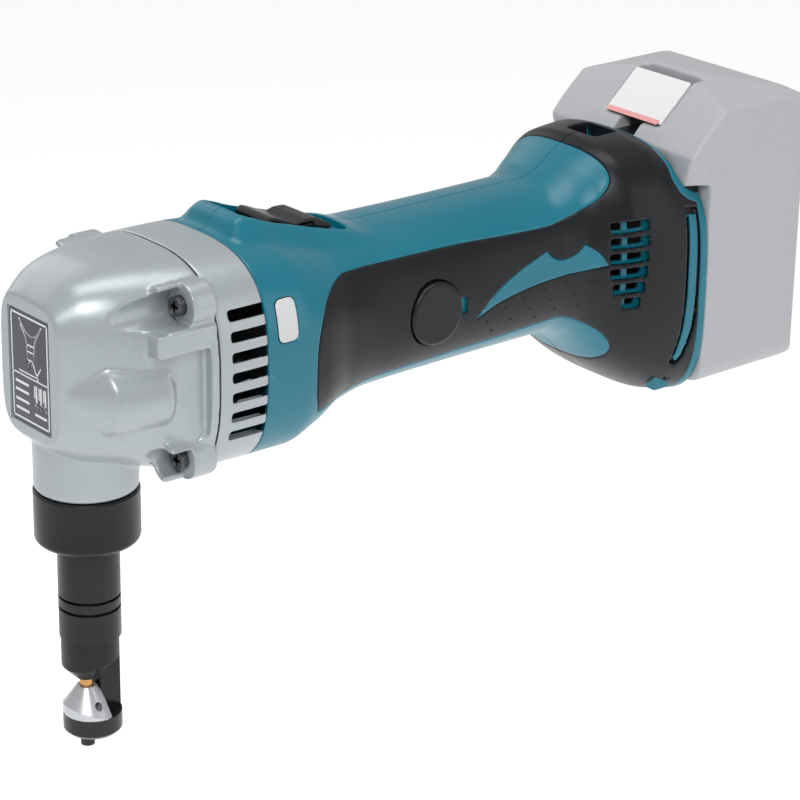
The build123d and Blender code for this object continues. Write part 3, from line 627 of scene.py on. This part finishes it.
FERRITE = material("ferrite_magnet", srgb(58, 58, 60), rough=0.62, vary=0.12, patch=60, grain=2600,
                   bump=0.25)
CARBON = material("carbon_brush", srgb(44, 44, 46), rough=0.55, metallic=0.1, vary=0.12, grain=3200,
                  bump=0.3)
NYLON = material("natural_nylon", srgb(214, 210, 196), rough=0.42, vary=0.05, grain=1800, bump=0.1)
NYLON_DARK = material("dark_nylon", srgb(46, 50, 54), rough=0.42, vary=0.06, grain=1800, bump=0.1)
WIRE_RED = material("lead_red", srgb(165, 40, 48), rough=0.42, grain=1800, bump=0.08)
BOARD = material("coated_board", srgb(24, 92, 58), rough=0.3, vary=0.12, patch=200, bump=0.15, coat=0.4)
PACK_GREY = material("pack_shell", srgb(172, 173, 176), rough=0.40, vary=0.025, patch=12, grain=2000,
                     bump=0.10, wear=0.12, wear_colour=srgb(205, 206, 208), edge=0.0, specular=0.45)
WHITE = material("button_white", srgb(224, 225, 226), rough=0.36, vary=0.015, grain=1800)
PINK = material("button_red_strip", srgb(226, 160, 160), rough=0.40, vary=0.05, grain=1800, edge=0.0)
WRAP = material("cell_sleeve", srgb(70, 112, 156), rough=0.24, vary=0.07, patch=60, grain=1200, bump=0.08,
                coat=0.4)

NODE_LOOKS = {
    "plunger_bush": BRONZE, "plunger_seal": SEAL, "crank_bearing": STEEL, "ring_gear": STEEL,
    "planet_gear_1": STEEL, "planet_gear_2": STEEL, "planet_gear_3": STEEL, "crankshaft": STEEL,
    "connecting_rod": STEEL, "rod_needle_bearing": GROUND, "crank_pin": GROUND, "plunger": GROUND,
    "wrist_pin": GROUND, "die_holder": OXIDE, "die": GROUND, "die_bolt": OXIDE, "punch": GOLD,
    "lock_nut": OXIDE,
    "armature_shaft": GROUND, "laminations": STEEL, "windings": COPPER, "commutator": COPPER,
    "cooling_fan": NYLON_DARK, "motor_bearings": STEEL, "bearing_plate": SILVER, "motor_can": STEEL,
    "field_magnets": FERRITE, "fan_baffle": TEAL, "carbon_brushes": CARBON, "brush_springs": STEEL,
    "brush_bracket": BLACK_HARD, "head_screws": SCREW, "housing_screws": SCREW, "brush_caps": BLACK_HARD,
    "switch_slider": BLACK_HARD, "switch_link": NYLON, "switch_unit": BLACK_HARD, "rail_plate": BLACK_HARD,
    "terminal_block": COPPER, "side_bumpers": TEAL, "control_board": BOARD, "leads": WIRE_RED, "cells": WRAP,
    "cell_straps": STEEL, "pack_board": BOARD, "latch_tooth": BLACK_HARD, "button_spring": STEEL,
    "side_inserts": PALE, "front_plate": SLATE, "switch_lever": BLACK_HARD, "pack_button": WHITE,
    "gear_housing": SILVER, "vent_ring": SILVER, "housing_left": TEAL, "housing_right": TEAL,
    "grip_left": BLACK, "grip_right": BLACK, "pack_front_case": PACK_GREY, "pack_rear_case": PACK_GREY}
for node, look in NODE_LOOKS.items():
    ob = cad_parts[node]
    ob.data.materials.clear()
    ob.data.materials.append(look)
    shade(ob.data, 30)

# ======================== gear housing
# side bulge over the crank: x, distance from the middle, height, radius
BULGE = [(-17.6, 13.4, 71.4, 1.0), (-17.4, 13.4, 71.4, 5.6), (-8.0, 20.0, 70.0, 12.0),
         (10.6, 22.2, 69.8, 12.8), (11.6, 22.2, 69.8, 12.0)]
HEAD_FRONT = -20.0
HEAD_BACK = 26.5
HEAD_SCREW_Y = 29.0
HEAD_SCREW_HIGH = 98.0
HEAD_SCREW_LOW = 46.5
POCKET_OUT = 60.0  # the pockets' cutters reach this far from the middle, clear of the casting
NECK = [(32.3, 16.6), (32.9, 17.0), (50.0, 17.0), (70.0, 17.0)]
# hollows for the gears along the tool and for the plunger's bush up the neck: distance, radius
GEAR_HOLLOW = [(-16.0, 17.0), (3.8, 17.0), (3.81, 25.2), (9.6, 25.2), (9.61, 14.05), (14.6, 14.05),
               (14.61, 16.0), (17.0, 16.0), (17.01, 22.45), (40.0, 22.45)]
NECK_HOLLOW = [(10.0, 11.05), (64.0, 11.05)]
SIDE_PANEL = [(12.9, 84.6), (23.6, 84.6), (23.6, 55.0), (19.5, 52.6), (14.0, 54.6), (12.9, 56.0)]


def head_masses():
    """The casting's outer masses: body, neck, side bulges, screw bosses and ledges."""
    front, back = np.linspace(HEAD_FRONT, -17, 7), np.linspace(-16.4, HEAD_BACK, 60)
    parts = [solid_loft("body", [section(x, 200) for x in np.concatenate([front, back])]),
             turned("neck", "z", (0, 0, 0), NECK)]
    for side in (-1, 1):
        parts.append(solid_loft("bulge", [disc((x, side * y, z), "x", r) for x, y, z, r in BULGE]))
        for z, r, x0 in ((HEAD_SCREW_HIGH, 7.4, 9.0), (HEAD_SCREW_LOW, 7.0, 10.0)):
            boss = [(x0, r), (HEAD_BACK, r)]
            parts.append(turned("boss", "x", (0, side * HEAD_SCREW_Y, z), boss, 64))
        parts.append(box("ledge", 4.0, HEAD_BACK, *sided(side, 20.0, 36.2), 84.5, 92.0))
    return parts


def head_pockets():
    """Cutters for the pockets round the screws and the flat side panels."""
    cutters = []
    for side in (-1, 1):
        outer = sided(side, 28.6, POCKET_OUT)
        high, low = ((0, side * HEAD_SCREW_Y, z) for z in (HEAD_SCREW_HIGH, HEAD_SCREW_LOW))
        cutters.append(turned("pocket", "x", high, [(-6.0, 5.6), (17.5, 5.6)], 64))
        cutters.append(box("pocket_open", -6.3, 17.43, *outer, 92.43, 108.6))
        cutters.append(turned("low_pocket", "x", low, [(1.2, 5.0), (17.5, 5.0)], 64))
        cutters.append(box("low_pocket_open", 1.7, 17.41, *outer, 37.3, 51.07))
        cutters.append(prism_y("panel", SIDE_PANEL, *sided(side, 33.0, POCKET_OUT)))
    return cutters


def head_holes():
    """Cutters for the hollows, the plate's seat, the flat rear face and the screw holes."""
    holes = [turned("gear_hollow", "x", (0, 0, AXIS_Z), GEAR_HOLLOW),
             turned("neck_hollow", "z", (0, 0, 0), NECK_HOLLOW),
             box("plate_seat", -30.0, -19.5, -11.6, 11.6, 56.9, 95.1),
             box("seam", 26.4, 60, -60, 60, 0, 140)]
    for side in (-1, 1):
        for z in (HEAD_SCREW_HIGH, HEAD_SCREW_LOW):
            place = (0, side * HEAD_SCREW_Y, z)
            holes.append(turned("screw_hole", "x", place, [(10.0, 2.3), (40.0, 2.3)], 40))
    return holes


def head_casting():
    o = remesh(joined("gear_housing_casting", head_masses()), 0.6, 10)
    boolean(o, head_pockets())
    remesh(o, 0.45, 5)
    boolean(o, head_holes(), angle=38)
    dress(o, SILVER, "housing", ["gear_housing"])


head_casting()


# ======================== vent ring
RING_FRONT = 26.8
RING_BACK = 44.8
SLOT_FRONT = 31.0
SLOT_BACK = 50.0  # the slots run out through the ring's rear edge
SLOT_PITCH = 6.75
SLOT_HEIGHT = 3.6
SLOT_LOWEST = 50.6
SLOT_ROUND = 0.45  # width of the rounding at the slots' edges


def ring_field(x, y, z):
    """Negative in the cooling slots."""
    f = np.full(x.shape, FAR)
    for k in range(7):
        low = SLOT_LOWEST + SLOT_PITCH * k
        f = np.minimum(f, sd_box(x, z, SLOT_FRONT, SLOT_BACK, low, low + SLOT_HEIGHT, 1.1))
    return np.where(np.abs(y) > SIDE_Y, f, FAR)


def vent_ring():
    skin = body_skin(RING_FRONT, RING_BACK, 0.75, 288)
    skin.bevel(lambda x, y, z: np.minimum(x - RING_FRONT, RING_BACK - x), [0.5], dipped(0.5, 0.35))
    skin.cut(ring_field)
    skin.cut(ring_field, SLOT_ROUND)
    skin = skin.without(ring_field)
    skin.push(dipped(SLOT_ROUND, 0.25)(skin.values(ring_field)))
    o = skin_object("vent_ring_casting", skin, 3.0, 38)
    dress(o, SILVER, "housing", ["vent_ring"])


vent_ring()


# ======================== plastic housing and overmould
def grip_area(x, y, z):
    """Negative where the black overmould lies, in side view."""
    front = spline([(84.0, 93.4), (75.6, 91.4), (70.4, 87.6), (67.0, 80.6), (65.3, 72.6), (65.3, 60.0),
                    (67.6, 51.5)])
    low = spline([(67.6, 51.5), (95.0, 53.2), (130.0, 54.2), (155.0, 54.9), (173.0, 56.0), (184.0, 55.4),
                  (197.0, 48.8), (202.6, 43.6), (205.4, 37.6), (204.4, 30.0), (200.5, 24.5)])
    under = [(193.0, 24.0), (189.0, 10.0), (189.0, -6.0), (260.0, -6.0), (260.0, 130.0), (200.0, 130.0)]
    tongue = spline([(200.5, 122.0), (201.8, 112.0), (203.3, 107.5), (203.0, 102.8), (199.6, 98.2),
                     (193.0, 94.0), (182.0, 90.6), (173.0, 90.0), (155.0, 90.6), (133.0, 91.7),
                     (102.0, 92.6)])
    return sd_polygon(x, z, front + low[1:] + under + tongue)


def flame_area(x, y, z):
    """Negative in the teal flame that shows through the overmould."""
    low = spline([(140.0, 65.2), (150.5, 69.1), (164.0, 71.6), (178.0, 72.6), (191.0, 72.7),
                  (198.6, 73.2)], 8)
    tip = spline([(198.6, 73.2), (195.2, 78.0), (189.8, 82.0)], 6)
    bite = spline([(189.8, 82.0), (185.4, 79.2), (179.8, 78.4), (175.6, 79.9), (173.0, 82.6)], 6)
    back = spline([(173.0, 82.6), (159.7, 78.4), (149.1, 73.1), (140.0, 65.2)], 8)
    return sd_polygon(x, z, low[:-1] + tip[:-1] + bite[:-1] + back[:-1])


# the rear edge of the housing in side view, and the outline that it closes
RIM = [(241, 92.0), (238.4, 92.9), (235.2, 94.3), (232.2, 96.6), (230.8, 99.6), (230.6, 103.0)]
HOUSING_OUTLINE = ([(20, -10), (241, -10)] + RIM
                   + [(229.6, 107.0), (229.0, 112.0), (229.0, 130.0), (20, 130.0)])


def rear_area(x, y, z):
    """Negative in front of the housing's rear edge."""
    return sd_polygon(x, z, HOUSING_OUTLINE)


def rim_area(x, y, z):
    """Negative in the coloured rim along the rear edge."""
    width = 1.9 + 1.4 * (1 - smoothstep(99, 108, z))
    return -(rear_area(x, y, z) + width)


def black_area(x, y, z):
    return np.maximum(np.maximum(grip_area(x, y, z), -flame_area(x, y, z)), -rim_area(x, y, z))


def on_top(field, low=97.0):
    return lambda x, y, z: np.where(z > low, field(x, y, z), FAR)


def on_sides(field):
    return lambda x, y, z: np.where(np.abs(y) > SIDE_Y, field(x, y, z), FAR)


def cap_opening(x, y, z):
    """Round opening for a brush cap, with the notch beside it."""
    return np.minimum(np.hypot(x - 121.5, z - AXIS_Z) - 11.4, sd_box(x, z, 130.5, 135.6, 69.0, 75.0, 0.7))


CHANNEL = [(230.8, 89.4), (237.5, 88.2), (237.5, 56.0), (236.5, 44.0), (233.2, 32.4), (230.4, 28.6),
           (227.4, 31.0), (229.8, 43.0), (230.8, 56.0)]
STRIP = [(232.3, 86.6), (236.0, 85.8), (236.0, 56.0), (235.0, 44.0), (231.9, 33.2), (230.2, 31.0),
         (229.2, 32.6), (231.3, 44.0), (232.3, 56.0)]
recess_area = on_top(lambda x, y, z: sd_box(x, y, 55.5, 99.2, -10.8, 10.8, 3.0))
slot_area = on_top(lambda x, y, z: sd_box(x, y, 61.4, 93.6, -3.8, 3.8, 0.8))
latch_area = on_top(lambda x, y, z: sd_box(x, y, 211.6, 223.6, -7.4, 7.4, 1.6), 100)
cap_area = on_sides(cap_opening)
pill_area = on_sides(lambda x, y, z: sd_box(x, z, 49.0, 57.4, 80.0, 94.3, 2.6))
channel_area = on_sides(lambda x, y, z: sd_polygon(x, z, CHANNEL))
# front and rear end of each vent, from the lowest up
VENTS = [(203.8, 210.8), (200.4, 212.2), (199.0, 213.0), (198.9, 213.4), (199.0, 213.6), (199.2, 213.6)]


def vent_area(x, y, z, inset=0.0, bar=0.0):
    """Negative in the rear vents, narrowed by an inset and split by an upright bar of a half width."""
    f = np.full(x.shape, FAR)
    for k, (x0, x1) in enumerate(VENTS):
        z0 = 56.1 + 5.65 * k
        d = sd_box(x, z, x0 + inset, x1 - inset, z0 + inset * 0.7, z0 + 4.1 - inset * 0.7, 0.8)
        if bar:
            d = np.maximum(d, bar - np.abs(x - 205.4))
        f = np.minimum(f, d)
    return np.where(np.abs(y) > SIDE_Y, f, FAR)


SCREWS = [(145.0, 86.0), (145.0, 56.0), (185.0, 86.0), (185.0, 56.0), (215.0, 98.0), (215.0, 32.0)]


def screw_area(x, y, z):
    """Negative over the housing screws, which enter from the +Y side."""
    f = np.full(x.shape, FAR)
    for sx, sz in SCREWS:
        f = np.minimum(f, np.hypot(x - sx, z - sz) - 3.5)
    return np.where(y > 8, f, FAR)


HOUSING_FRONT = 45.0
HOUSING_BACK = 241.0
# height of the crest that carries the switch, along the tool
CREST_X = [44, 46.4, 48.6, 51.0, 54.0, 58, 64, 72, 85, 100, 106, 110]
CREST_Z = [108.8, 108.8, 110.6, 113.6, 114.9, 114.2, 111.8, 109.4, 105.9, 102.2, 100.6, 100.2]


def housing_base():
    """Skin of the whole housing, raised to the crest along its top."""
    skin = body_skin(HOUSING_FRONT, HOUSING_BACK, 0.8, 320)
    x, y, z = skin.base.T
    _, t, b, _, _ = body_at(x)
    crest = smooth_line(CREST_X, CREST_Z, x)
    across = 1 - smoothstep(10.5, 18.0, np.abs(y))
    above = smoothstep(0.5, 0.86, (z - (t + b) / 2) / ((t - b) / 2))
    lift = np.maximum(crest - t, 0) * across * above
    base = skin.base.copy()
    base[:, 2] += lift
    return Skin(base, skin.tris)


def pocketed(skin):
    """The skin with its rear and front edges rounded and the pockets on its top sunk."""
    skin, _ = skin.split(rear_area)
    skin.bevel(lambda x, y, z: -rear_area(x, y, z), [0.3, 0.8], rounded(0.8, 0.5))
    skin.bevel(lambda x, y, z: x - HOUSING_FRONT, [0.25, 0.6], rounded(0.6, 0.4))
    skin.bevel(recess_area, [0.8, 0.35, 0.0, EDGE_STEP], dipped(0.8, 0.4))
    skin.flatten(recess_area, 100.0)
    skin.cut(slot_area)
    skin = skin.without(slot_area)
    skin.bevel(latch_area, [0.7, 0.0, EDGE_STEP], dipped(0.7, 0.35))
    skin.flatten(latch_area, 107.0)
    return skin


def opened(skin):
    """The skin with its side openings cut and the channels for the side strips sunk."""
    for area in (cap_area, vent_area, screw_area):
        skin.cut(area, 0.4)
        skin.cut(area)
        skin.push(dipped(0.4, 0.3)(skin.values(area)))
        skin = skin.without(area)
    skin.bevel(channel_area, [0.6, 0.0, -0.4], dipped(0.6, 0.35))
    skin.push(np.where(skin.values(channel_area) < EDGE_STEP, -1.5, 0.0))
    return skin


PILL_GAP = 0.22  # between a pale insert and the housing round it


def housing_skins():
    """Shells, overmoulds, the floor of the latch window and the pale inserts, all from one skin."""
    skin = opened(pocketed(housing_base()))
    pills, skin = skin.split(pill_area)
    skin.bevel(pill_area, [0.4], dipped(0.4, 0.35))
    pills, _ = pills.split(pill_area, -PILL_GAP)
    pills.bevel(lambda x, y, z: -pill_area(x, y, z) - PILL_GAP, [0.25, 0.6], rounded(0.6, 0.35))
    pills.push(np.full(len(pills.base), 0.12))
    # groove of the clamshell seam, top and bottom
    seam = lambda x, y, z: np.abs(y)
    skin.cut(seam, 0.16)
    skin.cut(seam, 0.34)
    clear = (skin.values(recess_area) > 0.8) & (skin.values(latch_area) > 0.8)
    skin.push(np.where((skin.values(seam) < 0.3) & clear, -0.25, 0.0))
    black, teal = skin.split(black_area)
    teal.bevel(black_area, [0.3, 0.7], rounded(0.7, 0.42))
    black.bevel(lambda x, y, z: -black_area(x, y, z), [0.3, 0.8], rounded(0.8, 0.42))
    deep = latch_area(*black.centres().T) < EDGE_STEP
    floor, black = black.part(deep), black.part(~deep)
    for side, name in ((-1, "left"), (1, "right")):
        for source, node, look, slot, title, wall in (
                (teal, "housing_", TEAL, "plastic_teal", "housing_shell_", 2.4),
                (black, "grip_", BLACK, "overmould_black", "overmould_", 2.2)):
            source.cut(lambda x, y, z: y)
            half = source.part(source.centres()[:, 1] * side > 0)
            dress(skin_object(title + name, half, wall), look, "housing", [node + name])
    dress(skin_object("latch_window_floor", floor, 0.8), TEAL, "housing")
    dress(skin_object("side_insert_pills", pills, 1.4), PALE, "housing", ["side_inserts"])


housing_skins()


def small_blocks():
    """Floors of the notches beside the brush caps and the tabs below the rear rim."""
    notches = [box("notch", 131.0, 136.4, *sided(s, 25.6, 27.4), 68.0, 76.0) for s in (-1, 1)]
    dress(joined("cap_notch_floors", notches), TEAL, "housing")
    tabs = [box("tab", 225.4, 232.6, *sided(s, 25.4, 29.8), 19.2, 30.0) for s in (-1, 1)]
    dress(remesh(joined("rear_tabs", tabs), 0.35, 6, 40), TEAL, "housing")


small_blocks()


def vent_grid():
    """Coloured grid seen inside the rear vents."""
    skin = body_skin(196.0, 216.5, 0.7, 300, inset=2.5)
    inner = lambda x, y, z: vent_area(x, y, z, 0.75, 0.9)
    skin.cut(inner)
    border = on_sides(lambda x, y, z: sd_box(x, z, 196.4, 216.0, 54.2, 91.0, 1.5))
    skin.cut(border)
    c = skin.centres()
    skin = skin.part((inner(*c.T) > 0) & (border(*c.T) < 0))
    dress(skin_object("rear_vent_grid", skin, 1.8), TEAL, "housing")


vent_grid()


def rear_collar():
    """Walls round the battery recess, just inside the skin."""
    o = solid_loft("rear_collar", [section(x, 160, 2.2) for x in np.linspace(229.4, 240.7, 12)])
    above = [(x - 0.3, z - 0.4) for x, z in RIM] + [(229.0, 140.0), (260.0, 140.0), (260.0, 92.0)]
    recess = box("recess", 220, 250, -31.3, 31.3, 22.4, 140)
    boolean(o, [recess, prism_y("above_rim", above, -60, 60)])
    dress(o, TEAL, "housing")


rear_collar()


# small raised details on the skin
def side_strip():
    """Strip in each side channel, with a row of small bumps."""
    rings = body_skin(228.6, 236.6, 0.5, 300, inset=0.15)
    area = on_sides(lambda x, y, z: sd_polygon(x, z, STRIP))
    strip, _ = rings.split(area)
    strip.bevel(lambda x, y, z: -area(x, y, z), [0.25, 0.6], rounded(0.6, 0.4))
    x, z = strip.base[:, 0], strip.base[:, 2]
    bump = np.zeros(len(x))
    for bump_x, bump_z in ((233.0, 38.0), (234.1, 51.0), (234.1, 64.0), (234.1, 77.0)):
        bump = np.maximum(bump, 0.32 * (1 - smoothstep(0.2, 0.9, np.hypot(x - bump_x, z - bump_z))))
    strip.push(bump)
    dress(skin_object("side_bumper_strips", strip, 1.5), TEAL, "housing", ["side_bumpers"])


side_strip()

# centres of the raised dots on the grip: x, height
DOTS = [(192.6, 68.3), (181.0, 69.6), (171.0, 69.2), (161.7, 68.1), (153.2, 66.2), (145.8, 63.4),
        (197.2, 62.6), (185.2, 64.1), (174.5, 64.5), (165.2, 63.4), (156.7, 61.4), (149.0, 58.8),
        (201.4, 57.4), (188.0, 59.8), (177.5, 60.6), (168.4, 59.6)]
DOT_RADIUS = 0.62


def grip_dots():
    bm = bmesh.new()
    for x, z in DOTS:
        for side in (-1, 1):
            y = float(body_side(x, z)) - 0.05
            place = Matrix.Translation(Vector((x, side * y, z)) * MM) @ Matrix.Diagonal((1, 0.62, 1, 1))
            bmesh.ops.create_uvsphere(bm, u_segments=14, v_segments=9, radius=DOT_RADIUS * MM, matrix=place)
    me = bpy.data.meshes.new("grip_dots")
    bm.to_mesh(me)
    bm.free()
    shade(me, 60)
    dress(link("grip_dots", me), BLACK_HARD, "housing")


grip_dots()


# ======================== switch and caps
dress(softened("switch_lever", "switch_lever_cap", 0.35, 6), BLACK_HARD, "lever",
      ["switch_lever"])
dress(softened("brush_caps", "brush_cap_discs", 0.4, 3), BLACK_HARD, "housing",
      ["brush_caps"])


# ======================== front plate
PLATE_X = -19.62  # the plate's printed face
PLATE_WIDTH = 0.92  # the plate's share of the CAD plate's width
PLATE_MIDDLE = 76.0
LINE_HEIGHT = 0.12


def plate_lines():
    """Generic pictogram: border, divider, a tool outline, a sheet edge and blank value bars."""
    border = [(-10.9, 58.6), (10.9, 58.6), (10.9, 93.4), (-10.9, 93.4), (-10.9, 58.6)]
    strokes = [(border, 0.30), ([(-10.9, 73.4), (10.9, 73.4)], 0.22)]
    for points in ([(-7.5, 92.0), (-4.6, 88.8), (-1.2, 87.6), (2.6, 88.6), (6.0, 92.0)],
                   [(-6.0, 89.8), (-3.4, 86.2), (-2.6, 82.2), (-2.0, 79.4)],
                   [(5.2, 90.0), (2.2, 86.0), (1.8, 82.2), (1.6, 79.4)],
                   [(1.0, 79.2), (2.0, 77.6), (0.6, 76.2), (-0.8, 77.4), (0.4, 78.4)],
                   [(-9.4, 64.6), (-7.0, 65.6), (-5.0, 64.2), (-2.6, 65.2)]):
        strokes.append((spline(points, 6), 0.26))
    for points in ([(-2.4, 84.4), (2.0, 84.4)], [(-2.2, 82.2), (1.9, 82.2)], [(-2.0, 79.4), (1.6, 79.4)],
                   [(-1.6, 79.2), (-5.0, 73.6)]):
        strokes.append((points, 0.24))
    strokes.append(([(-6.6, 78.2), (-3.6, 74.6), (6.8, 74.6)], 0.20))
    for y in (-8.9, -6.2, -3.5):
        strokes.append(([(y, 71.4), (y, 66.4)], 0.42))
        strokes.append(([(y + 1.1, 71.4), (y + 1.1, 67.6)], 0.24))
    strokes.append(([(-9.2, 62.0), (-2.6, 62.0)], 0.40))
    for z in (70.6, 67.8, 64.6, 61.6):
        strokes.append(([(1.6, z), (9.0, z)], 0.44))
    verts, faces = [], []
    for points, half in strokes:
        for (y0, z0), (y1, z1) in zip(points[:-1], points[1:]):
            length = math.hypot(y1 - y0, z1 - z0)
            ty, tz = (y1 - y0) / length * half * 0.7, (z1 - z0) / length * half * 0.7
            ny, nz = -(z1 - z0) / length * half, (y1 - y0) / length * half
            k = len(verts)
            for x in (PLATE_X, PLATE_X - LINE_HEIGHT):
                verts += [(x, y0 - ty + ny, z0 - tz + nz), (x, y0 - ty - ny, z0 - tz - nz),
                          (x, y1 + ty - ny, z1 + tz - nz), (x, y1 + ty + ny, z1 + tz + nz)]
            faces += [(k, k + 1, k + 2, k + 3), (k + 7, k + 6, k + 5, k + 4)]
            faces += [(k + a, k + 4 + a, k + 4 + (a + 1) % 4, k + (a + 1) % 4) for a in range(4)]
    o = mesh_object("plate_pictogram", [(x, y * PLATE_WIDTH, z) for x, y, z in verts], faces)
    dress(o, INK, "housing")


def front_plate():
    outline = []
    for cy, cz, a0 in ((10.4, 93.0, 0), (-10.4, 93.0, 90), (-10.4, 59.0, 180), (10.4, 59.0, 270)):
        for k in range(9):
            a = math.radians(a0 + 90 * k / 8)
            outline.append((cy + 1.9 * math.cos(a), cz + 1.9 * math.sin(a)))
    n = len(outline)
    verts, faces = [], []
    for x, k in ((-19.42, 1.0), (PLATE_X + 0.06, 1.0), (PLATE_X, 0.985)):
        verts += [(x, y * k * PLATE_WIDTH, PLATE_MIDDLE + (z - PLATE_MIDDLE) * k) for y, z in outline]
    for ring in (0, n):
        faces += [(ring + a, ring + (a + 1) % n, ring + n + (a + 1) % n, ring + n + a) for a in range(n)]
    faces += [tuple(range(n))[::-1], tuple(range(2 * n, 3 * n))]
    o = tidy_normals(mesh_object("front_plate_printed", verts, faces), n)
    dress(o, SLATE, "housing", ["front_plate"])


front_plate()
plate_lines()


# ======================== battery pack
# front corner of the pack in plan, low down and high up
LOW_CORNER = [(226.0, 32.0), (231.3, 32.0), (236.0, 34.2), (241.8, 38.7), (241.8, 60.0), (226.0, 60.0)]
HIGH_CORNER = [(226.0, 38.3), (231.3, 38.5), (236.0, 38.7), (241.8, 38.9), (241.8, 60.0), (226.0, 60.0)]


def pack_shell():
    """Both pack cases as one moulding, its front corners sloped back above the rail block."""
    o = joined("pack_shell", [copy_node("pack_front_case", "front"), copy_node("pack_rear_case", "rear")])
    remesh(o, 0.7, 0)
    corners = []
    for side in (-1, 1):
        levels = [np.array([(x, side * y, z) for x, y in plan])
                  for plan, z in ((LOW_CORNER, 94.2), (HIGH_CORNER, 113.0))]
        corners.append(solid_loft("corner", levels))
    boolean(o, corners)
    remesh(o, 0.6, 12, 40)
    boolean(o, [box("tooth_room", 228.0, 250.7, -5.2, 5.2, 103.0, 112.6)], angle=40)
    dress(o, PACK_GREY, "pack", ["pack_front_case", "pack_rear_case"])


pack_shell()
dress(softened("pack_button", "pack_button_cap", 0.4, 4), WHITE, "button", ["pack_button"])
BUTTON_STRIP = [(236.75, 112.95), (238.25, 114.25), (238.0, 114.5), (236.5, 113.2)]
dress(prism_y("button_edge_strip", BUTTON_STRIP, -12.8, 12.8), PINK, "button")


# ======================== stage, lights, camera
# places and sizes in metres, powers in watts
FLOOR_Z = -0.40
FLOOR_GLOW = 0.45
WORLD_STRENGTH = 0.50
LIT_POINT = (0.13, 0.0, 0.07)
CAMERA_PLACE = (-0.4725, -0.7214, 0.4083)
CAMERA_RIGHT = Vector((0.77095, -0.63672, 0.01489))
CAMERA_UP = Vector((0.22741, 0.29704, 0.92739))


def stage():
    bpy.ops.mesh.primitive_plane_add(size=8, location=(0, 0, FLOOR_Z))
    floor = bpy.context.object
    floor.name = "floor"
    m = bpy.data.materials.new("pale_floor")
    m.use_nodes = True
    surface = m.node_tree.nodes["Principled BSDF"]
    surface.inputs["Base Color"].default_value = (0.93, 0.93, 0.93, 1)
    surface.inputs["Roughness"].default_value = 0.9
    surface.inputs["Emission Color"].default_value = (1, 1, 1, 1)
    surface.inputs["Emission Strength"].default_value = FLOOR_GLOW
    floor.data.materials.append(m)
    world = bpy.data.worlds.new("studio")
    bpy.context.scene.world = world
    world.use_nodes = True
    sky = world.node_tree.nodes["Background"]
    sky.inputs[0].default_value = (1, 1, 1, 1)
    sky.inputs[1].default_value = WORLD_STRENGTH
    bpy.context.scene.view_settings.view_transform = "Standard"


def area_light(name, location, size, power, size_y=None):
    """Soft light that points at the tool."""
    data = bpy.data.lights.new(name, "AREA")
    data.energy, data.size = power, size
    if size_y:
        data.shape, data.size_y = "RECTANGLE", size_y
    o = link(name, data)
    o.location = location
    o.rotation_mode = "QUATERNION"
    o.rotation_quaternion = (Vector(LIT_POINT) - Vector(location)).to_track_quat("-Z", "Y")


def camera():
    data = bpy.data.cameras.new("camera")
    data.lens, data.sensor_width, data.sensor_fit = 131.04, 36.0, "HORIZONTAL"
    data.clip_start, data.clip_end = 0.05, 30.0
    o = link("camera", data)
    turn = Matrix((CAMERA_RIGHT, CAMERA_UP, CAMERA_RIGHT.cross(CAMERA_UP))).transposed()
    o.matrix_world = Matrix.Translation(CAMERA_PLACE) @ turn.to_4x4()
    bpy.context.scene.camera = o


stage()
camera()
area_light("key", (-0.55, -0.75, 0.95), 0.5, 8.0)
area_light("top", (0.15, 0.05, 1.15), 0.9, 4.5, 0.5)
area_light("side", (0.75, -1.05, 0.35), 0.5, 1.5, 0.9)
area_light("back", (0.1, 1.1, 0.6), 0.8, 2.0)
